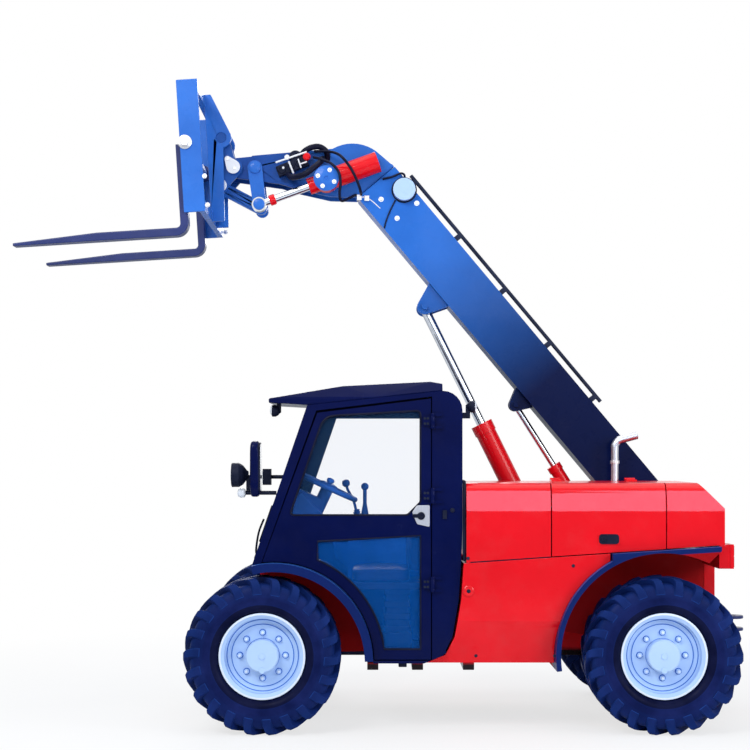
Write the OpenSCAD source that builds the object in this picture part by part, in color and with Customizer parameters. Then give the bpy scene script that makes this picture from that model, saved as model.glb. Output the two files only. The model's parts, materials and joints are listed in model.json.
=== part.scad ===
// Compact telehandler: cab on the left, telescopic boom offset to the right, fork carriage.
// X points forward, Y to the machine's left, Z up. Modules place their pieces from the
// front axle's middle at ground level; on_ground() then moves the origin under the middle
// of the whole machine.

/* [Wheels and axles] */
// Distance between the front and rear axles
wheelbase = 2140; // [2080:10:2200]
// Distance between the left and right tyre centres
track = 1490; // [1470:5:1520]
// Tyre diameter over the lugs
tyre_d = 840; // [820:5:850]
// Tyre width
tyre_w = 310; // [290:5:320]
// Lugs on each side of the tread
lug_count = 22; // [20:1:24]
// Depth of the tread between the lugs
lug_depth = 30; // [26:1:34]
// Diameter over the rim flanges
rim_d = 462; // [450:2:474]
// Rim width over its flanges
rim_w = 250; // [236:2:264]
// Distance of the kingpin inboard of the tyre centre
kingpin_offset = 135; // [130:1:140]
// Diameter of the hub cover
hub_d = 176; // [160:2:190]
// Wheel bolts on each rim
bolt_count = 8; // [6:1:10]
// Diameter of the wheel bolt circle
bolt_pcd = 244; // [236:2:256]
// Height and depth of the axle beam
axle_beam = 130; // [110:5:140]

/* [Chassis] */
// Thickness of the two main frame plates
plate_t = 20; // [15:1:25]
// Distance between the inner faces of the frame plates
frame_gap = 300; // [290:5:310]
// Height of the belly above the ground
belly_z = 335; // [320:5:345]
// Distance of the frame's front end ahead of the front axle
frame_front = 300; // [280:5:320]
// Distance of the counterweight's rear face behind the rear axle
rear_overhang = 370; // [350:5:390]
// Reach of the tow hitch behind the counterweight
hitch_reach = 232; // [210:2:250]
// Diameter of the tow hitch pin hole
hitch_pin_d = 32; // [25:1:40]

/* [Cab] */
// Distance of the cab's outer side from the machine's middle
cab_side = 800; // [790:2:810]
// Distance of the cab's inner side from the machine's middle
cab_inner = 70; // [66:1:80]
// Distance of the cab's rear face behind the front axle
cab_back = 1070; // [1060:2:1080]
// Height of the cab floor's underside
cab_floor_z = 375; // [370:1:380]
// Height of the roof's highest point
cab_top_z = 1888; // [1870:2:1920]
// Thickness of the cab walls and of the door
cab_wall = 45; // [40:1:50]
// Width of the windscreen pillars
pillar_w = 48; // [44:1:56]
// Distance of the door's rear edge behind the front axle
door_back = 907; // [895:1:915]
// Thickness of the glass
glass_t = 8; // [5:1:10]
// Gap round the doors and lids
seam = 6; // [5:0.5:8]

/* [Body] */
// Distance of the body sides from the machine's middle
body_side = 830; // [820:2:840]
// Height of the hood's top
hood_z = 1342; // [1330:2:1360]
// Thickness of the hood panels
hood_t = 20; // [15:1:25]
// Length of the hood's side access door
hood_door_l = 620; // [580:5:640]
// Gap between the tyre and the arch lips
arch_gap = 65; // [60:1:75]
// Height of the front arch's rubber lip
lip_h = 45; // [40:1:50]
// Diameter of the exhaust pipe
exhaust_d = 44; // [38:1:50]

/* [Boom] */
// Angle of the boom above the ground
boom_angle = 50; // [49:0.5:51]
// Distance of the boom's centre plane to the right of the machine's middle
boom_side = 110; // [106:1:114]
// Height of the boom pivot
pivot_z = 1180; // [1170:2:1190]
// Distance of the boom pivot behind the rear axle
pivot_back = 61; // [50:1:70]
// Length of the outer boom ahead of the pivot
boom_l = 2473; // [2440:2:2500]
// Height of the outer boom
boom_h = 280; // [274:1:290]
// Width of the outer boom
boom_w = 240; // [234:1:246]
// Wall of both boom tubes
boom_wall = 10; // [8:1:12]
// Clearance between the inner and the outer boom tube
slide_gap = 10; // [8:1:12]
// Gap behind the inner boom's tail
inner_gap = 33; // [25:1:60]
// Diameter of the boom pivot pin
pivot_pin_d = 80; // [70:1:90]

/* [Cylinders] */
// Outer diameter of the lift cylinder's barrel
lift_barrel_d = 120; // [110:1:126]
// Diameter of the lift cylinder's rod
lift_rod_d = 56; // [50:1:60]
// Outer diameter of the levelling cylinder's barrel
level_barrel_d = 76; // [70:1:80]
// Diameter of the levelling cylinder's rod
level_rod_d = 36; // [32:1:40]
// Outer diameter of the tilt cylinder's barrel
tilt_barrel_d = 120; // [110:1:124]
// Diameter of the tilt cylinder's rod
tilt_rod_d = 44; // [40:1:50]

/* [Carriage] */
// Width of the fork carriage
carriage_w = 1200; // [1150:10:1250]
// Height of the fork carriage
carriage_h = 735; // [720:5:750]
// Depth of the fork carriage
carriage_d = 118; // [112:1:124]
// Forward lean of the carriage
carriage_lean = 3.6; // [3:0.1:4.2]
// Length of the fork blades
fork_l = 938; // [850:5:1000]
// Width of the fork blades
fork_w = 100; // [90:1:120]
// Thickness of the fork blades
fork_t = 45; // [40:1:50]
// Distance between the fork centres
fork_pitch = 1010; // [900:5:1030]

/* [Hidden] */
$fn = 48;
// Every cut runs past its wall by this much
over = 5;
// Radial running fit of pins and rods
fit = 0.05;
// Gap between round faces that only lie on each other
lay = 0.3;

// Derived places: x of the axles, the pivot and the ends
axle_z = tyre_d / 2;
rear_x = -wheelbase;
pivot_x = rear_x - pivot_back;
boom_y = -boom_side;
plate_left = boom_y + frame_gap / 2;
plate_right = boom_y - frame_gap / 2;
frame_out_left = plate_left + plate_t;
frame_out_right = plate_right - plate_t;
rear_face_x = rear_x - rear_overhang;
tail_x = rear_face_x - hitch_reach;

// Carriage pin, seen from the boom's front end
head_reach = 598;
head_drop = 580.5;
pin_c = [boom_l + head_reach, -head_drop];
// Fork blade's underside and front face, seen from the carriage pin
fork_drop = 430;
fork_face = 286;
function boom_pt(p) = [
  pivot_x + p[0] * cos(boom_angle) - p[1] * sin(boom_angle),
  pivot_z + p[0] * sin(boom_angle) + p[1] * cos(boom_angle)
];
function turn(p, a) = [p[0] * cos(a) - p[1] * sin(a), p[0] * sin(a) + p[1] * cos(a)];
carriage_pt = boom_pt(pin_c);
fork_tip = carriage_pt + turn([fork_face + fork_l, -fork_drop + fork_t / 3], -carriage_lean);
origin_x = (fork_tip[0] + tail_x) / 2;

// Front arch: a circle a little behind and below the front axle
arch_back = 62;
arch_drop = 35;
arch_c = [-arch_back, axle_z - arch_drop];
arch_r = axle_z + arch_gap;
arch_edge_r = arch_r + lip_h;
arch_turn = [77, 179];
guard_end = 150;
rear_arch_c = [rear_x, axle_z];
rear_arch_r = axle_z + 2 * arch_gap;
rear_lip = 27;
lip_out = 880;

function arc(c, r, a0, a1, n = 10) = [
  for (i = [0 : n]) c + r * [cos(a0 + (a1 - a0) * i / n), sin(a0 + (a1 - a0) * i / n)]
];

module on_ground() {
  translate([-origin_x, 0, 0]) children();
}

// Extrudes an X-Z outline from y0 to y1
module side(y0, y1) {
  translate([0, y1, 0]) rotate([90, 0, 0]) linear_extrude(y1 - y0) children();
}

// Extrudes a Y-Z outline from x0 to x1
module across(x0, x1) {
  translate([x0, 0, 0]) rotate([90, 0, 90]) linear_extrude(x1 - x0) children();
}

// Round bar along Y at an X-Z point
module bar_y(p, y0, y1, d) {
  translate([p[0], y1, p[1]]) rotate([90, 0, 0]) cylinder(h = y1 - y0, d = d);
}

// Box given by its corners
module block(a, b) {
  translate(a) cube(b - a);
}

// Outline of a bar with round ends, as one polygon
function bar_pts(p, q, rp, rq) =
  let (a = atan2(q[1] - p[1], q[0] - p[0]))
  let (k = acos((rp - rq) / norm(q - p)))
  concat(arc(q, rq, a - k, a + k, 12), arc(p, rp, a + k, a + 360 - k, 16));

module in_boom() {
  translate([pivot_x, boom_y, pivot_z]) rotate([0, -boom_angle, 0]) children();
}

module in_carriage() {
  translate([carriage_pt[0], boom_y, carriage_pt[1]]) rotate([0, carriage_lean, 0]) children();
}

// Chassis

lift_base_fwd = 290;
lift_base_z = 420;
level_base_fwd = 90;
level_base_z = 800;
lift_base = [rear_x + lift_base_fwd, lift_base_z];
level_base = [rear_x + level_base_fwd, level_base_z];
lift_base_pin_d = 60;
level_base_pin_d = 40;
axle_seat_z = axle_z + axle_beam / 2 + over;
tower_r = 115;
waist_top = 700;
outrigger = 40;
outrigger_w = 60;
outrigger_back = 35;
outrigger_shares = [0.551, 0.776];
outrigger_x = [
  -cab_back * outrigger_shares[0], -cab_back * outrigger_shares[1], -cab_back - outrigger_back
];
belly_t = 12;
axle_notch = 150;

// Outline of one frame plate, from the nose along the top to the tail and back below
module frame_plate_outline() {
  polygon(concat(
    [
      [-axle_notch, belly_z],
      [-axle_notch, axle_seat_z],
      [frame_front, axle_seat_z],
      [frame_front, waist_top - 2 * outrigger],
      [-frame_front, waist_top],
      [outrigger_x[2] - outrigger_w, waist_top],
      [lift_base[0] + axle_notch, pivot_z - waist_top / 2]
    ],
    arc([pivot_x, pivot_z], tower_r, 40, 140, 8),
    [
      [rear_face_x + outrigger_w, pivot_z - axle_notch],
      [rear_face_x + outrigger_w, axle_seat_z],
      [rear_x + axle_notch, axle_seat_z],
      [rear_x + axle_notch, belly_z]
    ]
  ));
}

module frame() {
  color("firebrick") {
    side(plate_left, frame_out_left) frame_plate_outline();
    side(frame_out_right, plate_right) frame_plate_outline();
    // Belly plate, nose plate and tail plate
    block([rear_x + axle_notch, plate_right, belly_z], [-axle_notch, plate_left, belly_z + belly_t]);
    block([frame_front - plate_t, plate_right, axle_seat_z],
          [frame_front, plate_left, waist_top - 2 * outrigger]);
    // Pins of the boom and of the two cylinders
    bar_y([pivot_x, pivot_z], frame_out_right, frame_out_left, pivot_pin_d);
    bar_y(lift_base, frame_out_right, frame_out_left, lift_base_pin_d);
    bar_y(level_base, frame_out_right, frame_out_left, level_base_pin_d);
    // Outriggers that carry the cab, the side box and the tank
    for (x = outrigger_x) {
      block([x - outrigger_w / 2, frame_out_left, belly_z],
            [x + outrigger_w / 2, cab_side - cab_wall, cab_floor_z]);
      block([x - outrigger_w / 2, -cab_side + cab_wall, belly_z],
            [x + outrigger_w / 2, frame_out_right, cab_floor_z]);
    }
  }
}

kingpin_y = track / 2 - kingpin_offset;
kingpin_d = 56;
yoke_h = 250;
yoke_t = 30;
yoke_r = 50;
yoke_back = 100;
diff_r = 105;
diff_w = 240;

// Driven steering axle: beam, differential, saddle and a yoke at each end
module axle(x) {
  color("dimgray") translate([x, 0, axle_z]) {
    difference() {
      union() {
        block([-axle_beam / 2, -kingpin_y + yoke_back - yoke_t, -axle_beam / 2],
              [axle_beam / 2, kingpin_y - yoke_back + yoke_t, axle_beam / 2]);
        translate([0, boom_y - diff_w / 2, 0]) rotate([-90, 0, 0]) cylinder(h = diff_w, r = diff_r);
        for (s = [-1, 1]) {
          // Yoke web and its two arms
          translate([0, s * (kingpin_y - yoke_back + yoke_t / 2), 0])
            cube([2 * yoke_r, yoke_t, yoke_h], center = true);
          for (z = [-yoke_h / 2, yoke_h / 2 - yoke_t]) {
            translate([-yoke_r, min(s * kingpin_y, s * (kingpin_y - yoke_back)), z])
              cube([2 * yoke_r, yoke_back, yoke_t]);
            translate([0, s * kingpin_y, z]) cylinder(h = yoke_t, r = yoke_r);
          }
        }
      }
      for (s = [-1, 1]) {
        translate([0, s * kingpin_y, -yoke_h]) cylinder(h = 2 * yoke_h, d = kingpin_d + 2 * fit);
      }
    }
    // Saddle under the frame plates
    block([-axle_notch / 2, frame_out_right, axle_beam / 2],
          [axle_notch / 2, frame_out_left, axle_beam / 2 + over]);
  }
}

module front_axle() {
  axle(0);
}

module rear_axle() {
  axle(rear_x);
}

spindle_d = 80;
spindle_l = 60;
knuckle_r = 60;
knuckle_drum_r = 95;
knuckle_face = -30;

// Steering knuckle of the wheel on side s: kingpin, drum and spindle
module knuckle(x, s) {
  gap = over;
  color("dimgray") translate([x, s * track / 2, axle_z]) {
    translate([0, -s * kingpin_offset, 0]) {
      cylinder(h = yoke_h, d = kingpin_d, center = true);
      cylinder(h = yoke_h - 2 * yoke_t - 2 * gap, r = knuckle_r - gap, center = true);
    }
    rotate([-90 * s, 0, 0]) {
      translate([0, 0, -kingpin_offset]) cylinder(h = kingpin_offset + knuckle_face, r = knuckle_r - gap);
      translate([0, 0, 2 * knuckle_face]) cylinder(h = -knuckle_face, r = knuckle_drum_r);
      translate([0, 0, knuckle_face - over]) cylinder(h = spindle_l - knuckle_face, d = spindle_d);
    }
  }
}

rim_flange_h = 19;
rim_flange_t = 12;
rim_wall = 10;
rim_drop = 22;
disc_y = 40;
disc_t = 14;
hub_out = 72;
hub_in = -20;
hub_wall = 7;
bolt_d = 30;
bolt_h = 16;

// Rim and hub of the wheel on side s, one revolved profile with the bolt circle
module rim(x, s) {
  r0 = rim_d / 2;
  seat = r0 - rim_flange_h;
  well = seat - rim_drop;
  hw = rim_w / 2;
  hub_r = hub_d / 2;
  color("lightsteelblue") translate([x, s * track / 2, axle_z]) rotate([-90 * s, 0, 0]) {
    rotate_extrude($fn = 64) polygon([
      [spindle_d / 2 + fit, hub_in], [hub_r + hub_wall, hub_in], [hub_r + hub_wall, disc_y],
      [well - rim_wall, disc_y], [well - rim_wall, -disc_y], [seat - rim_wall, -disc_y - rim_drop],
      [seat - rim_wall, -hw + rim_flange_t], [r0 - rim_flange_t, -hw], [r0, -hw],
      [r0, -hw + rim_flange_t], [seat, -hw + rim_flange_t], [seat, -disc_y - rim_drop], [well, -disc_y],
      [well, disc_y], [seat, disc_y + rim_drop], [seat, hw - rim_flange_t], [r0, hw - rim_flange_t],
      [r0, hw], [r0 - rim_flange_t, hw], [seat - rim_wall, hw - rim_flange_t],
      [seat - rim_wall, disc_y + rim_drop], [well - rim_wall, disc_y + disc_t],
      [hub_r, disc_y + disc_t], [hub_r, disc_y + disc_t + hub_out - hub_wall],
      [hub_r - hub_wall, disc_y + disc_t + hub_out], [0, disc_y + disc_t + hub_out],
      [0, spindle_l + over], [spindle_d / 2 + fit, spindle_l + over]
    ]);
    for (i = [0 : bolt_count - 1]) {
      rotate([0, 0, i * 360 / bolt_count]) translate([bolt_pcd / 2, 0, disc_y + disc_t / 2])
        cylinder(h = disc_t / 2 + bolt_h, d = bolt_d, $fn = 6);
    }
  }
}

tread_w = 280;
bead_w = 26;
// How far a lug comes down the sidewall
lug_fall = 85;
// Shares of one lug pitch: a lug's width, and how far its middle end trails
lug_top = 0.46;
lug_trail = -0.9;

// Angle of point k of a lug ring: two on a lug of one side, then two on one of the other
function lug_angle(k, trail) =
  (floor(k / 2) / 2 + 1 / 4 + (k % 2 - 1 / 2) * lug_top + trail) * 360 / lug_count;

// Ring of four points a pitch, high on the lugs of one side; p gives radius and place across
function lug_ring(high, low, odd, trail) = [
  for (k = [0 : 4 * lug_count - 1])
    let (p = floor(k / 2) % 2 == odd ? high : low)
    let (a = lug_angle(k, trail))
    [p[0] * cos(a), p[0] * sin(a), p[1]]
];

// Ring of two points a pitch whose flats clear a round face of radius r
function bead_ring(r, y) = [
  for (k = [0 : 2 * lug_count - 1])
    let (a = (k / 2 + 1 / 4) * 360 / lug_count)
    [r / cos(90 / lug_count) * cos(a), r / cos(90 / lug_count) * sin(a), y]
];

// Triangles between two rings of n points that start at a and b
function even_band(a, b, n) = [
  for (k = [0 : n - 1])
    let (m = (k + 1) % n)
    each [[a + k, b + k, b + m], [a + k, b + m, a + m]]
];

// Triangles from a ring of n points at a to one of 2 n points at b
function fine_band(a, b, n) = [
  for (k = [0 : n - 1])
    let (m = (k + 1) % n)
    each [[a + k, b + 2 * k, b + 2 * k + 1], [a + k, b + 2 * k + 1, b + 2 * m], [a + k, b + 2 * m, a + m]]
];

// Triangles from a ring of 2 n points at a to one of n points at b
function coarse_band(a, b, n) = [
  for (k = [0 : n - 1])
    let (m = (k + 1) % n)
    each [
      [b + k, a + 2 * k + 1, a + 2 * k], [a + 2 * k + 1, b + k, b + m], [a + 2 * k + 1, b + m, a + 2 * m]
    ]
];

// Tyre of the wheel on side s: beads, sidewalls and two staggered rows of slanted lugs
module tyre(x, s) {
  n = 2 * lug_count;
  seat = rim_d / 2 - rim_flange_h + lay;
  hw = tyre_w / 2;
  inner = rim_w / 2 - rim_flange_t - lay;
  crown = tyre_d / 2;
  foot = [crown - lug_fall, hw];
  high = [crown, (tread_w + hw) / 3];
  low = [crown - lug_depth, tread_w / 2];
  middle = [crown - lug_depth / 3, 0];
  points = concat(
    bead_ring(seat, -inner), bead_ring(rim_d / 2 + lay, -inner),
    bead_ring(rim_d / 2 + bead_w, -hw + bead_w / 2),
    lug_ring([foot[0], -foot[1]], [foot[0], -foot[1]], 0, 0),
    lug_ring([high[0], -high[1]], [low[0], -low[1]], 0, 0),
    lug_ring(middle, middle, 0, lug_trail),
    lug_ring(high, low, 1, 0), lug_ring(foot, foot, 0, 0),
    bead_ring(rim_d / 2 + bead_w, hw - bead_w / 2),
    bead_ring(rim_d / 2 + lay, inner), bead_ring(seat, inner)
  );
  faces = concat(
    even_band(0, n, n), even_band(n, 2 * n, n), fine_band(2 * n, 3 * n, n),
    even_band(3 * n, 5 * n, 2 * n), even_band(5 * n, 7 * n, 2 * n), even_band(7 * n, 9 * n, 2 * n),
    even_band(9 * n, 11 * n, 2 * n), coarse_band(11 * n, 13 * n, n),
    even_band(13 * n, 14 * n, n), even_band(14 * n, 15 * n, n), even_band(15 * n, 0, n)
  );
  color("darkslategray") translate([x, s * track / 2, axle_z]) rotate([90, 0, 0]) polyhedron(points, faces);
}

engine_box = [750, 285, 470];
engine_fwd = 60;
engine_x = rear_x + engine_fwd;
engine_z = 722;

module engine() {
  color("dimgray")
    translate([engine_x, frame_out_left, engine_z]) cube(engine_box);
}

weight_half_w = 350;
weight_z = 430;
weight_top = 1011;
bumper_z = 880;

module counterweight() {
  color("maroon") {
    side(-weight_half_w, weight_half_w) polygon([
      [rear_face_x + outrigger_w, weight_z], [rear_face_x + outrigger_w, weight_top],
      [rear_face_x, weight_top], [rear_face_x, weight_z + plate_t], [rear_face_x + plate_t, weight_z]
    ]);
    block([rear_face_x, -body_side + outrigger_w, bumper_z],
          [rear_face_x + outrigger_w, body_side - outrigger_w, weight_top]);
  }
}

hitch_z = 516;
hitch_half_h = 44;
hitch_plate = 18;
hitch_w = 120;

// Clevis with an upright pin hole behind the counterweight
module tow_hitch() {
  color("darkslategray") difference() {
    union() {
      for (z = [-hitch_half_h, hitch_half_h - hitch_plate]) {
        translate([tail_x + hitch_w / 2, 0, hitch_z + z]) {
          cylinder(h = hitch_plate, d = hitch_w);
          block([0, -hitch_w / 2, 0], [hitch_reach - hitch_w / 2, hitch_w / 2, hitch_plate]);
        }
      }
      block([rear_face_x - hitch_plate, -hitch_w / 2 - hitch_plate, hitch_z - hitch_half_h - hitch_plate],
            [rear_face_x, hitch_w / 2 + hitch_plate, hitch_z + hitch_half_h + hitch_plate]);
    }
    translate([tail_x + hitch_w / 2, 0, hitch_z - hitch_half_h - over])
      cylinder(h = 2 * hitch_half_h + 2 * over, d = hitch_pin_d);
  }
}

// Cab

cab_front_x = 57;
screen_foot_z = 905;
screen_top = [-238, 1760];
frame_top_drop = 52;
roof_rear_drop = 12;
cab_corner_r = 105;
cab_waist_z = 1100;
cab_toe = 206;
tuck_shares = [[0.04, 0.72], [0.1, 0.47], [0.26, 0.2], [0.5, 0.06], [1, 0]];
footwell_side = 370;
footwell_z = 545;
footwell_step = -230;
cab_frame_top = cab_top_z - frame_top_drop;

// Side outline of the cab below its roof, drawn in by i
function cab_pts(i) = concat(
  [
    [footwell_step - i, cab_floor_z + i], [footwell_step - i, footwell_z + i],
    [cab_front_x - i, footwell_z + i], [cab_front_x - i, screen_foot_z],
    [screen_top[0] - i, screen_top[1] - i]
  ],
  arc([-cab_back + cab_corner_r, cab_frame_top - cab_corner_r], cab_corner_r - i, 90, 180, 6),
  [[-cab_back + i, cab_waist_z]],
  [for (t = tuck_shares)
    [-cab_back + i + cab_toe * t[0], cab_floor_z + i + (cab_waist_z - cab_floor_z - i) * t[1]]]
);

module cab_hull(i, y0, y1) {
  side(y0, min(y1, footwell_side - i)) polygon(cab_pts(i));
  side(footwell_side - i - over, y1) difference() {
    polygon(cab_pts(i));
    translate(arch_c) circle(r = arch_edge_r + i, $fn = 96);
    translate([footwell_step - cab_front_x, 0])
      square([2 * cab_front_x - 2 * footwell_step, screen_foot_z - cab_wall]);
  }
}

door_sill = 15;
door_bottom = cab_floor_z + door_sill;
door_head = 60;
door_front_x = cab_front_x - pillar_w;

// Door outline drawn in by i, twice that at the sloping head, which the swinging rear corner passes
function door_pts(i) =
  let (r = arch_edge_r + i)
  let (a0 = 180 - asin((door_bottom + i - arch_c[1]) / r))
  let (a1 = acos((door_front_x - i - arch_c[0]) / r))
  concat(
    [[-door_back + i, door_bottom + i]],
    arc(arch_c, r, a0, a1, 14),
    [
      [screen_top[0] - pillar_w - i, screen_top[1] - door_head / 2 - 2 * i],
      [-door_back + i, cab_frame_top - door_head / 2 - 2 * i]
    ]
  );

// Upper and lower window of the door, drawn in by i
pane_frame = 62;
pane_low_z = 1170;
lower_pane_top = 1060;
lower_pane_turn = 113;
pane_cut = 70;
pane_round = [18, 90, 24, 30, 30];

// Corner b of an outline, rounded to r
function fillet(a, b, c, r) =
  let (u = (a - b) / norm(a - b))
  let (v = (c - b) / norm(c - b))
  let (half = acos(u * v) / 2)
  let (m = b + (u + v) / norm(u + v) * r / sin(half))
  let (p = b + u * r / tan(half) - m)
  let (q = b + v * r / tan(half) - m)
  let (a0 = atan2(p[1], p[0]))
  let (turned = (atan2(q[1], q[0]) - a0 + 540) % 360 - 180)
  arc(m, r, a0, a0 + turned, 5);

function rounded(pts, radii) = [
  for (k = [0 : len(pts) - 1])
    each fillet(pts[(k + len(pts) - 1) % len(pts)], pts[k], pts[(k + 1) % len(pts)], radii[k])
];

function upper_pane(i) =
  let (slope = (screen_top[0] - cab_front_x) / (screen_top[1] - screen_foot_z))
  let (z1 = screen_top[1] - door_head - i)
  let (x0 = door_front_x + (pane_low_z - screen_foot_z) * slope - pane_frame - i)
  let (x1 = door_front_x + (z1 - screen_foot_z) * slope - pane_frame - i)
  rounded([
    [x0, pane_low_z + i], [x1, z1], [-door_back + pane_frame + i, z1 + door_head / 2],
    [-door_back + pane_frame + i, pane_low_z + pane_cut],
    [-door_back + pane_frame + pane_cut, pane_low_z + i]
  ], pane_round);

function lower_pane(i) =
  let (r = arch_edge_r + pane_frame + i)
  let (z0 = door_bottom + pane_frame + i)
  concat(
    [[-door_back + pane_frame + i, z0]],
    arc(arch_c, r, 180 - asin((z0 - arch_c[1]) / r), lower_pane_turn, 10),
    [[arch_c[0] + r * cos(lower_pane_turn), lower_pane_top - pane_frame / 2 - i],
     [-door_back + pane_frame + i, lower_pane_top - i]]
  );

rear_pane_z = [1180, 1690];
side_pane_z = [1000, 1700];

module cab_frame() {
  color("midnightblue") difference() {
    cab_hull(0, cab_inner, cab_side);
    cab_hull(cab_wall, cab_inner + cab_wall, cab_side - cab_wall);
    // Door opening
    side(cab_side - cab_wall - over, cab_side + over) polygon(door_pts(0));
    screen_cut();
    // Rear and right-hand windows
    block([-cab_back - over, cab_inner + pane_frame, rear_pane_z[0]],
          [-cab_back + cab_wall + over, cab_side - pane_frame, rear_pane_z[1]]);
    side(cab_inner - over, cab_inner + cab_wall + over) polygon(side_pane());
  }
  color("midnightblue") for (z = hinge_z) {
    cab_hinge(z);
  }
}

function side_pane() = [
  [-pane_frame - cab_wall - (side_pane_z[0] - screen_foot_z) * cab_slope, side_pane_z[0]],
  [-pane_frame - cab_wall - (side_pane_z[1] - screen_foot_z) * cab_slope, side_pane_z[1]],
  [-cab_back + cab_wall + pane_frame, side_pane_z[1]],
  [-cab_back + cab_wall + pane_frame, side_pane_z[0]]
];
cab_slope = (cab_front_x - screen_top[0]) / (screen_top[1] - screen_foot_z);

// Windscreen opening between the pillars; t is the depth of the slab from the outer face
module screen_slab(z0, z1, d0, d1) {
  side(cab_inner + pillar_w, cab_side - pillar_w) polygon([
    [cab_front_x - (z0 - screen_foot_z) * cab_slope - d0, z0],
    [cab_front_x - (z1 - screen_foot_z) * cab_slope - d0, z1],
    [cab_front_x - (z1 - screen_foot_z) * cab_slope - d1, z1],
    [cab_front_x - (z0 - screen_foot_z) * cab_slope - d1, z0]
  ]);
}

screen_z = [950, 1700];
module screen_cut() {
  screen_slab(screen_z[0], screen_z[1], -over, cab_wall + over);
}

module cab_glass() {
  color("lightblue") {
    screen_slab(screen_z[0], screen_z[1], glass_t, 2 * glass_t);
    block([-cab_back + glass_t, cab_inner + pane_frame, rear_pane_z[0]],
          [-cab_back + 2 * glass_t, cab_side - pane_frame, rear_pane_z[1]]);
    side(cab_inner + glass_t, cab_inner + 2 * glass_t) polygon(side_pane());
  }
}

hinge_z = [800, 1274, 1674];
hinge_d = 26;
hinge_pin_d = 12;
hinge_fit = 0.09;
hinge_h = 50;
hinge_lug = 16;
hinge_c = [-door_back - seam / 2, cab_side + hinge_d / 2 + lay];

module cab_hinge(z) {
  for (dz = [-hinge_h / 2 - hinge_lug - lay, hinge_h / 2 + lay]) {
    translate([hinge_c[0], hinge_c[1], z + dz]) cylinder(h = hinge_lug, d = hinge_d);
    block([hinge_c[0] - 2 * hinge_d, cab_side, z + dz], [hinge_c[0], hinge_c[1], z + dz + hinge_lug]);
  }
  translate([hinge_c[0], hinge_c[1], z - hinge_h / 2 - over])
    cylinder(h = hinge_h + 2 * over, d = hinge_pin_d);
}

module door() {
  color("midnightblue") {
    side(cab_side - cab_wall, cab_side) difference() {
      polygon(door_pts(seam));
      polygon(upper_pane(0));
      polygon(lower_pane(0));
    }
    for (z = hinge_z) {
      difference() {
        union() {
          translate([hinge_c[0], hinge_c[1], z - hinge_h / 2]) cylinder(h = hinge_h, d = hinge_d);
          block([hinge_c[0], cab_side, z - hinge_h / 2],
                [hinge_c[0] + 2 * hinge_d, hinge_c[1], z + hinge_h / 2]);
        }
        translate([hinge_c[0], hinge_c[1], z - hinge_h])
          cylinder(h = 2 * hinge_h, d = hinge_pin_d + 2 * hinge_fit);
      }
    }
  }
}

module door_glass() {
  color("lightblue") side(cab_side - 2 * glass_t, cab_side - glass_t) {
    polygon(upper_pane(0));
    polygon(lower_pane(0));
  }
}

visor_x = -32;
visor_h = 12;
roof_shares = [0.4, 0.84];
roof_side = 8;
roof_round = 30;

module cab_roof() {
  color("midnightblue") intersection() {
    side(cab_inner - roof_side, cab_side + roof_side) polygon([
      [visor_x, screen_top[1] + visor_h], [visor_x, screen_top[1] + 3 * visor_h],
      [-cab_back * roof_shares[0], cab_top_z - 2 * visor_h], [-cab_back * roof_shares[1], cab_top_z],
      [-cab_back + cab_corner_r, cab_top_z - roof_rear_drop],
      [-cab_back + cab_corner_r, cab_frame_top], [screen_top[0], screen_top[1]]
    ]);
    across(-cab_back, visor_x + over) polygon([
      [cab_inner - roof_side, screen_top[1] - over], [cab_inner - roof_side, cab_top_z - 2 * roof_round],
      [cab_inner + roof_round, cab_top_z], [cab_side - 2 * roof_round, cab_top_z],
      [cab_side + roof_side, cab_top_z - 3 * roof_round], [cab_side + roof_side, screen_top[1] - over]
    ]);
  }
}

seat_x = -880;
seat_y = 430;
seat_w = 480;
seat_l = 410;
seat_z = 800;
seat_h = 90;
seat_back_h = 290;
seat_back_t = 100;
seat_post = [140, 340];
seat_post_back = 80;

module seat() {
  floor_top = cab_floor_z + cab_wall;
  color("black") {
    block([seat_x + seat_post_back, seat_y - seat_post[1] / 2, floor_top],
          [seat_x + seat_post_back + seat_post[0], seat_y + seat_post[1] / 2, seat_z]);
    block([seat_x, seat_y - seat_w / 2, seat_z], [seat_x + seat_l, seat_y + seat_w / 2, seat_z + seat_h]);
    block([seat_x, seat_y - seat_w / 2, seat_z + seat_h],
          [seat_x + seat_back_t, seat_y + seat_w / 2, seat_z + seat_h + seat_back_h]);
  }
}

wheel_c = [-341, 1313];
wheel_d = 360;
wheel_grip_d = 28;
column_d = 70;
column_tilt = 25;
column_l = 370;
pod_l = 150;
pedestal = [110, 120];
pedestal_x = -235;
pedestal_z = 1010;

module steering_column() {
  color("black") translate([wheel_c[0], seat_y, wheel_c[1]]) rotate([0, -column_tilt, 0]) {
    rotate_extrude() translate([wheel_d / 2 - wheel_grip_d / 2, 0]) circle(d = wheel_grip_d, $fn = 24);
    translate([-wheel_grip_d, -wheel_d / 2 + wheel_grip_d / 2, -wheel_grip_d / 4])
      cube([2 * wheel_grip_d, wheel_d - wheel_grip_d, wheel_grip_d / 2]);
    translate([0, 0, -column_l]) cylinder(h = column_l, d = column_d);
    translate([0, -pod_l / 2, -pod_l]) cube([pod_l, pod_l, pod_l / 2]);
  }
  // Pedestal on the wheel arch
  color("black") side(seat_y - pedestal[1] / 2, seat_y + pedestal[1] / 2) difference() {
    translate([pedestal_x, screen_foot_z]) square([pedestal[0], pedestal_z - screen_foot_z]);
    translate(arch_c) circle(r = arch_edge_r + cab_wall + lay, $fn = 96);
  }
}

console_x = [-800, -450];
console_gap = 10;
console_side = seat_y - seat_w / 2 - console_gap;
console_z = 1120;
lever_d = 22;
lever_foot = 2.5;
lever_l = 190;

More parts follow.
